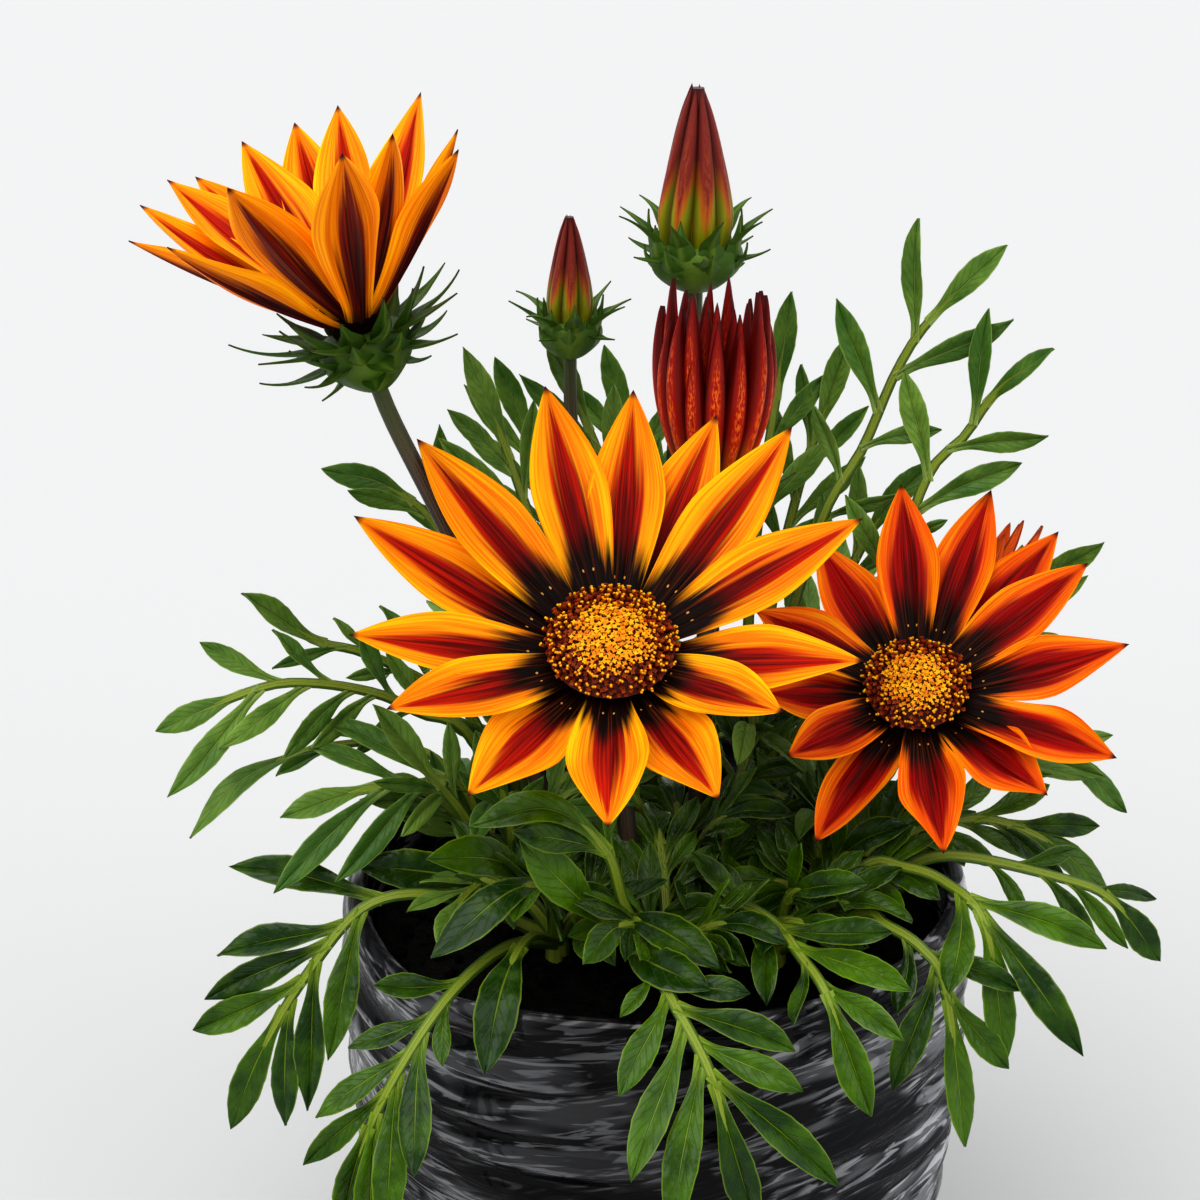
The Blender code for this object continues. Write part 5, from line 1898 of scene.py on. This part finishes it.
@dataclass
class Pot:
    """The glazed pot: a thrown wall with soft broken rings, a rounded rim that dips, and its inside."""

    around: int = 240
    waves: int = 46
    wave_height: float = 0.085
    seed: int = 11

    def rings_at(self, angle: Array, height: Array) -> Array:
        """How far the outer wall stands out.

        It is a sum of slanting waves, each a cosine of a whole number of turns round the pot plus a
        share of the height, longer waves standing out further.

        Args:
            angle: Angles round the pot.
            height: Heights, which broadcast against the angles.

        Returns:
            The distances in mm.
        """
        chance = np.random.default_rng(self.seed)
        turns = chance.integers(-7, 8, self.waves)
        pitch = chance.uniform(5.0, 13.0, self.waves)
        start = chance.uniform(0, 2 * np.pi, self.waves)
        out = np.zeros(np.broadcast(angle, height).shape)
        for k, length, phase in zip(turns, pitch, start):
            slant = k * angle + 2 * np.pi * height / length + phase
            out += self.wave_height * length / 9.0 * np.cos(slant)
        return out

    def build(self, finishes: Looks) -> None:
        """Turns the profile from the middle of the foot up the outside, over the rim and down inside.

        The rings fade out at the foot and below the rim. The rim dips by a bell curve of the angle from
        its lowest place.

        Args:
            finishes: Every material by its name.
        """
        heights = np.linspace(1.4, POT_HEIGHT - 2.4, 110)
        outer = grid(wall_radius(heights), heights)
        inner_foot = inner_radius(POT_FLOOR)
        foot = [
            (0.5, 0.0), (FOOT_RADIUS * 0.6, 0.0), (FOOT_RADIUS - 2.2, 0.0), (FOOT_RADIUS - 0.6, 0.4),
        ]
        bow = np.linspace(0, np.pi, 11)[1:-1]
        middle = RIM_RADIUS - 1.8
        rim = [(middle + 1.7 * math.cos(a), POT_HEIGHT - 1.9 + 1.9 * math.sin(a)) for a in bow]
        inside = [
            (RIM_RADIUS - POT_WALL + 0.4, POT_HEIGHT - 5.0),
            (inner_radius(85.0), 85.0), (inner_radius(60.0), 60.0),
            (inner_foot, POT_FLOOR + 4.0), (inner_foot - 3.0, POT_FLOOR), (0.5, POT_FLOOR),
        ]
        profile = np.vstack([foot, outer, rim, inside])
        level = profile[:, 1:]
        angle = circle(self.around)
        ease = np.zeros((len(profile), 1))
        wall = slice(len(foot), len(foot) + len(heights))
        ease[wall, 0] = smooth(0, 10, heights) * (1 - smooth(104, 109.6, heights))
        out = self.rings_at(angle, level) * ease
        rings = turned_rings(profile, self.around) + outward(angle) * out[..., None]
        away = (np.degrees(angle) - RIM_DIP_AZIMUTH) / RIM_DIP_SPREAD
        near = np.maximum(0.0, (rings[..., 2] - 84.0) / 28.0)
        rings[..., 2] -= RIM_DIP * near * np.exp(-away**2)
        skin = Skin()
        skin.add(rings, grid(angle / (2 * np.pi), level / POT_HEIGHT), LONE_SEED)
        show(skin.build("pot_glazed", [finishes["glaze"]]), "glaze", "pot")


@dataclass
class Soil:
    """The soil that fills the pot, rough on top, with loose crumbs."""

    around: int = 150
    rows: int = 60
    crumbs: int = 700

    def top(self, x: Array, y: Array) -> Array:
        """Height of the soil: a low crown plus sines of several sizes that stand for its lumps.

        Args:
            x: Places to the plant's right.
            y: Places towards its back.

        Returns:
            The height at each place.
        """
        radius = np.hypot(x, y)
        crown = SOIL_CROWN * (1 - (radius / 56.0) ** 2)
        lumps = 0.5 * np.sin(0.31 * x + 1.3 * np.sin(0.17 * y)) * np.sin(0.27 * y + 0.9)
        lumps = lumps + 0.35 * np.sin(0.83 * x - 0.6 * y) * np.sin(0.71 * y + 0.4 * x)
        return SOIL_TOP + crown + lumps - 0.9

    def build(self, finishes: Looks, chance: Chance) -> None:
        """Makes the filling body, its rough top and the crumbs as one piece.

        Args:
            finishes: Every material by its name.
            chance: The random source.
        """
        side = inner_radius(60.0) - 2 * GAP
        inner_foot = inner_radius(POT_FLOOR)
        below = [
            (0.5, POT_FLOOR + GAP), (inner_foot - 3.2, POT_FLOOR + GAP),
            (inner_foot - 2 * GAP, POT_FLOOR + 4.2), (side, 60.0), (side - 0.4, 96.0),
        ]
        profile = np.vstack([below, grid(np.linspace(side - 0.6, 0.3, self.rows), SOIL_TOP)])
        rings = turned_rings(profile, self.around)
        upper = rings[:, len(below):]
        rough = chance.normal(0, 0.22, upper.shape[:-1])
        upper[..., 2] = self.top(upper[..., 0], upper[..., 1]) + rough
        skin = Skin()
        skin.add(rings, turned_uv(len(profile), self.around), LONE_SEED)
        self.add_crumbs(skin, side, chance)
        show(skin.build("soil_crumbed", [finishes["soil"]], 80.0), "soil", "soil")

    def add_crumbs(self, skin: Skin, side: float, chance: Chance) -> None:
        """Scatters lumps over the top: spheres of 4 by 6 points pushed in and out at random.

        Args:
            skin: Where the crumbs go.
            side: The soil's radius.
            chance: The random source.
        """
        radius = np.sqrt(chance.uniform(0, 1, self.crumbs)) * (side - 3.0)
        angle = chance.uniform(0, 2 * np.pi, self.crumbs)
        size = 0.5 + 1.5 * chance.uniform(0, 1, self.crumbs) ** 3
        x, y = radius * np.cos(angle), radius * np.sin(angle)
        centre = grid(x, y, self.top(x, y) + size * 0.3)
        polar = np.linspace(np.pi * 0.94, np.pi * 0.06, 4)
        ball = turned_rings(grid(np.sin(polar), 0.75 * np.cos(polar)), 6)
        rough = chance.uniform(0.7, 1.25, (self.crumbs, 4, 6, 1))
        rings = centre[:, None, None] + ball * rough * size[:, None, None, None]
        skin.add(rings, turned_uv(4, 6), chance.uniform(0, 1, self.crumbs))


# Studio


@dataclass(frozen=True)
class SoftSun:
    """A wide soft source far away, which lights the plant and the floor evenly."""

    name: str
    azimuth: float
    elevation: float
    width: float
    strength: float

    def build(self) -> None:
        """Adds the light; azimuth 0 shines from the camera's side and 90 from the plant's right."""
        lamp = bpy.data.lights.new(self.name, "SUN")
        lamp.angle = math.radians(self.width)
        lamp.energy = self.strength
        obj = link(bpy.data.objects.new(self.name, lamp))
        obj.rotation_euler = (math.radians(90 - self.elevation), 0, math.radians(self.azimuth))


@dataclass
class Studio:
    """The camera, the pale floor and the soft light."""

    camera_place: tuple = (-0.0109, -0.416, 0.3366)
    camera_pitch: float = 67.8
    focal_pixels: float = 2406.0
    sensor: float = 36.0
    floor_half: float = 14.0
    exposure: float = 0.3
    gamma: float = 0.84
    front_sky: float = 0.47
    back_sky: float = 0.92
    suns: tuple = (
        SoftSun("key", -38, 56, 60, 1.45),
        SoftSun("fill", 50, 35, 40, 0.4),
    )

    def build(self) -> None:
        """Makes them all."""
        camera = bpy.data.cameras.new("camera")
        camera.sensor_width = self.sensor
        camera.lens = self.focal_pixels / IMAGE_SIDE * self.sensor
        camera.clip_start = 0.01
        holder = link(bpy.data.objects.new("camera", camera))
        holder.location = self.camera_place
        holder.rotation_euler = (math.radians(self.camera_pitch), 0, 0)
        bpy.context.scene.camera = holder
        self.build_floor()
        self.build_sky()
        for sun in self.suns:
            sun.build()
        view = bpy.context.scene.view_settings
        view.view_transform = "Standard"
        view.exposure = self.exposure
        view.gamma = self.gamma

    def build_sky(self) -> None:
        """Even white surroundings, dimmer on the camera's side than behind the plant."""
        world = bpy.data.worlds.new("studio")
        bpy.context.scene.world = world
        world.use_nodes = True
        nodes, links = world.node_tree.nodes, world.node_tree.links
        place = nodes.new("ShaderNodeTexCoord")
        parts = nodes.new("ShaderNodeSeparateXYZ")
        level = nodes.new("ShaderNodeMapRange")
        level.interpolation_type = "SMOOTHSTEP"
        bounds = {
            "From Min": -0.9, "From Max": 0.5, "To Min": self.front_sky, "To Max": self.back_sky,
        }
        for key, value in bounds.items():
            level.inputs[key].default_value = value
        links.new(place.outputs["Generated"], parts.inputs[0])
        links.new(parts.outputs["Y"], level.inputs["Value"])
        links.new(level.outputs[0], nodes["Background"].inputs["Strength"])
        nodes["Background"].inputs["Color"].default_value = (1.0, 1.0, 1.0, 1.0)

    def build_floor(self) -> None:
        """A wide pale floor under the pot."""
        kit = Kit("Pale floor")
        kit.finish(Base_Color=(0.605, 0.608, 0.612, 1.0), Roughness=0.9)
        half = self.floor_half
        corners = [(-half, -half, 0), (half, -half, 0), (half, half, 0), (-half, half, 0)]
        mesh = bpy.data.meshes.new("floor")
        mesh.from_pydata(corners, [], [(0, 1, 2, 3)])
        mesh.materials.append(kit.material)
        floor = link(bpy.data.objects.new("floor", mesh))
        floor.location = (0, 0, -0.0002)


RAY_FOOT = (16, 3, 1)
FINISHES = {
    "main front": RayFinish(
        "Ray orange", (255, 198, 10), (248, 140, 0), (198, 32, 0), (98, 0, 0), RAY_FOOT,
        (84, 20, 24), 0.58, 0.38, 1.0, 0.03, 0.42,
    ),
    "main back": RayFinish(
        "Ray orange back", (250, 156, 20), (240, 126, 10), (140, 44, 24), (78, 18, 18),
        (60, 26, 16), (80, 26, 30), 0.46, 0.1, 0.0,
    ),
    "red front": RayFinish(
        "Ray red orange", (255, 164, 16), (248, 106, 0), (172, 10, 0), (80, 0, 0), RAY_FOOT,
        (74, 12, 16), 0.76, 0.38, 1.0, 0.03,
    ),
    "red back": RayFinish(
        "Ray red orange back", (240, 116, 14), (228, 90, 10), (140, 30, 18), (84, 12, 14),
        (70, 24, 16), (74, 20, 24), 0.6, 0.1, 0.0,
    ),
    "half front": RayFinish(
        "Ray orange inside", (255, 200, 14), (250, 144, 0), (190, 34, 0), (104, 0, 0), RAY_FOOT,
        (84, 16, 20), 0.55, 0.34, 0.0, 0.16, 0.45,
    ),
    "half back": RayFinish(
        "Ray orange outside", (252, 176, 10), (240, 128, 0), (128, 30, 6), (44, 4, 8),
        (44, 20, 14), (74, 20, 24), 0.54, 0.08, 0.0, 0.26, 0.55,
    ),
    "dark roll": RollFinish(
        "Ray dark red", (210, 110, 10), (204, 30, 2), (140, 10, 6), (255, 120, 20), 1.0,
        (0.06, 0.3, 0.86), 0.1, 0.3,
    ),
    "orange roll": RollFinish(
        "Ray orange rolled", (240, 130, 20), (240, 110, 10), (226, 96, 20), (255, 170, 40), 0.7,
        (0.1, 0.5, 0.95), 0.1, 0.8,
    ),
    "bud roll": RollFinish(
        "Bud maroon", (150, 152, 8), (184, 98, 18), (132, 42, 34), (206, 120, 30), 0.2,
        (0.2, 0.32, 0.46), 0.34, 0.38,
    ),
    "dome": FloretFinish("Disc brown", (96, 26, 0), (120, 40, 0), (90, 26, 0), (0.3, 0.9)),
    "floret": FloretFinish("Disc yellow", (150, 52, 0), (220, 122, 0), (255, 196, 18), (0.4, 0.85)),
    "outer": FloretFinish("Disc maroon", (78, 12, 0), (118, 30, 0), (180, 76, 4), (0.45, 1.0)),
    "lobe": LobeFinish("Leaf green", (20, 56, 0), (82, 122, 0), (146, 172, 40), 0.25),
    # A paler copy of the leaf green for the far shoots: painted back light from the bright backdrop.
    "lobe painted back light": LobeFinish("Leaf green with painted back light", (62, 104, 26), (122, 156, 58), (164, 186, 100), 0.4),
    "lobe back": LobeFinish("Leaf green under", (48, 78, 18), (76, 106, 34), (136, 158, 66), 0.45),
    "rib": RibFinish("Leaf rib", (140, 158, 44), (62, 96, 12), (88, 118, 28), 0.4),
    "bract": BractFinish("Bract green", (54, 88, 14), (114, 144, 44), (60, 40, 16)),
    "bract light": BractFinish("Bud bract green", (64, 98, 20), (124, 152, 50), (76, 54, 24)),
    "scape": RibFinish("Scape purple brown", (84, 66, 50), (48, 36, 28), (66, 80, 30), 0.5),
    "glaze": GlazeFinish(),
    "soil": SoilFinish(),
}


def main() -> None:
    """Builds the pot, the soil, the shoots, the heads and the buds in order, then the studio."""
    logging.basicConfig(level=logging.INFO, format="%(name)s: %(message)s")
    finishes = {key: finish.make() for key, finish in FINISHES.items()}
    Pot().build(finishes)
    Soil().build(finishes, np.random.default_rng(SOIL_DRAWS))
    for number, shoot in enumerate(SHOOTS):
        shoot.build(finishes, np.random.default_rng(SHOOT_DRAWS + number))
    for number, head in enumerate(HEADS):
        head.build(finishes, np.random.default_rng(HEAD_DRAWS + number))
    for number, bud in enumerate(BUDS):
        bud.build(finishes, np.random.default_rng(BUD_DRAWS + number))
    Studio().build()
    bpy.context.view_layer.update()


if __name__ == "__main__":
    main()
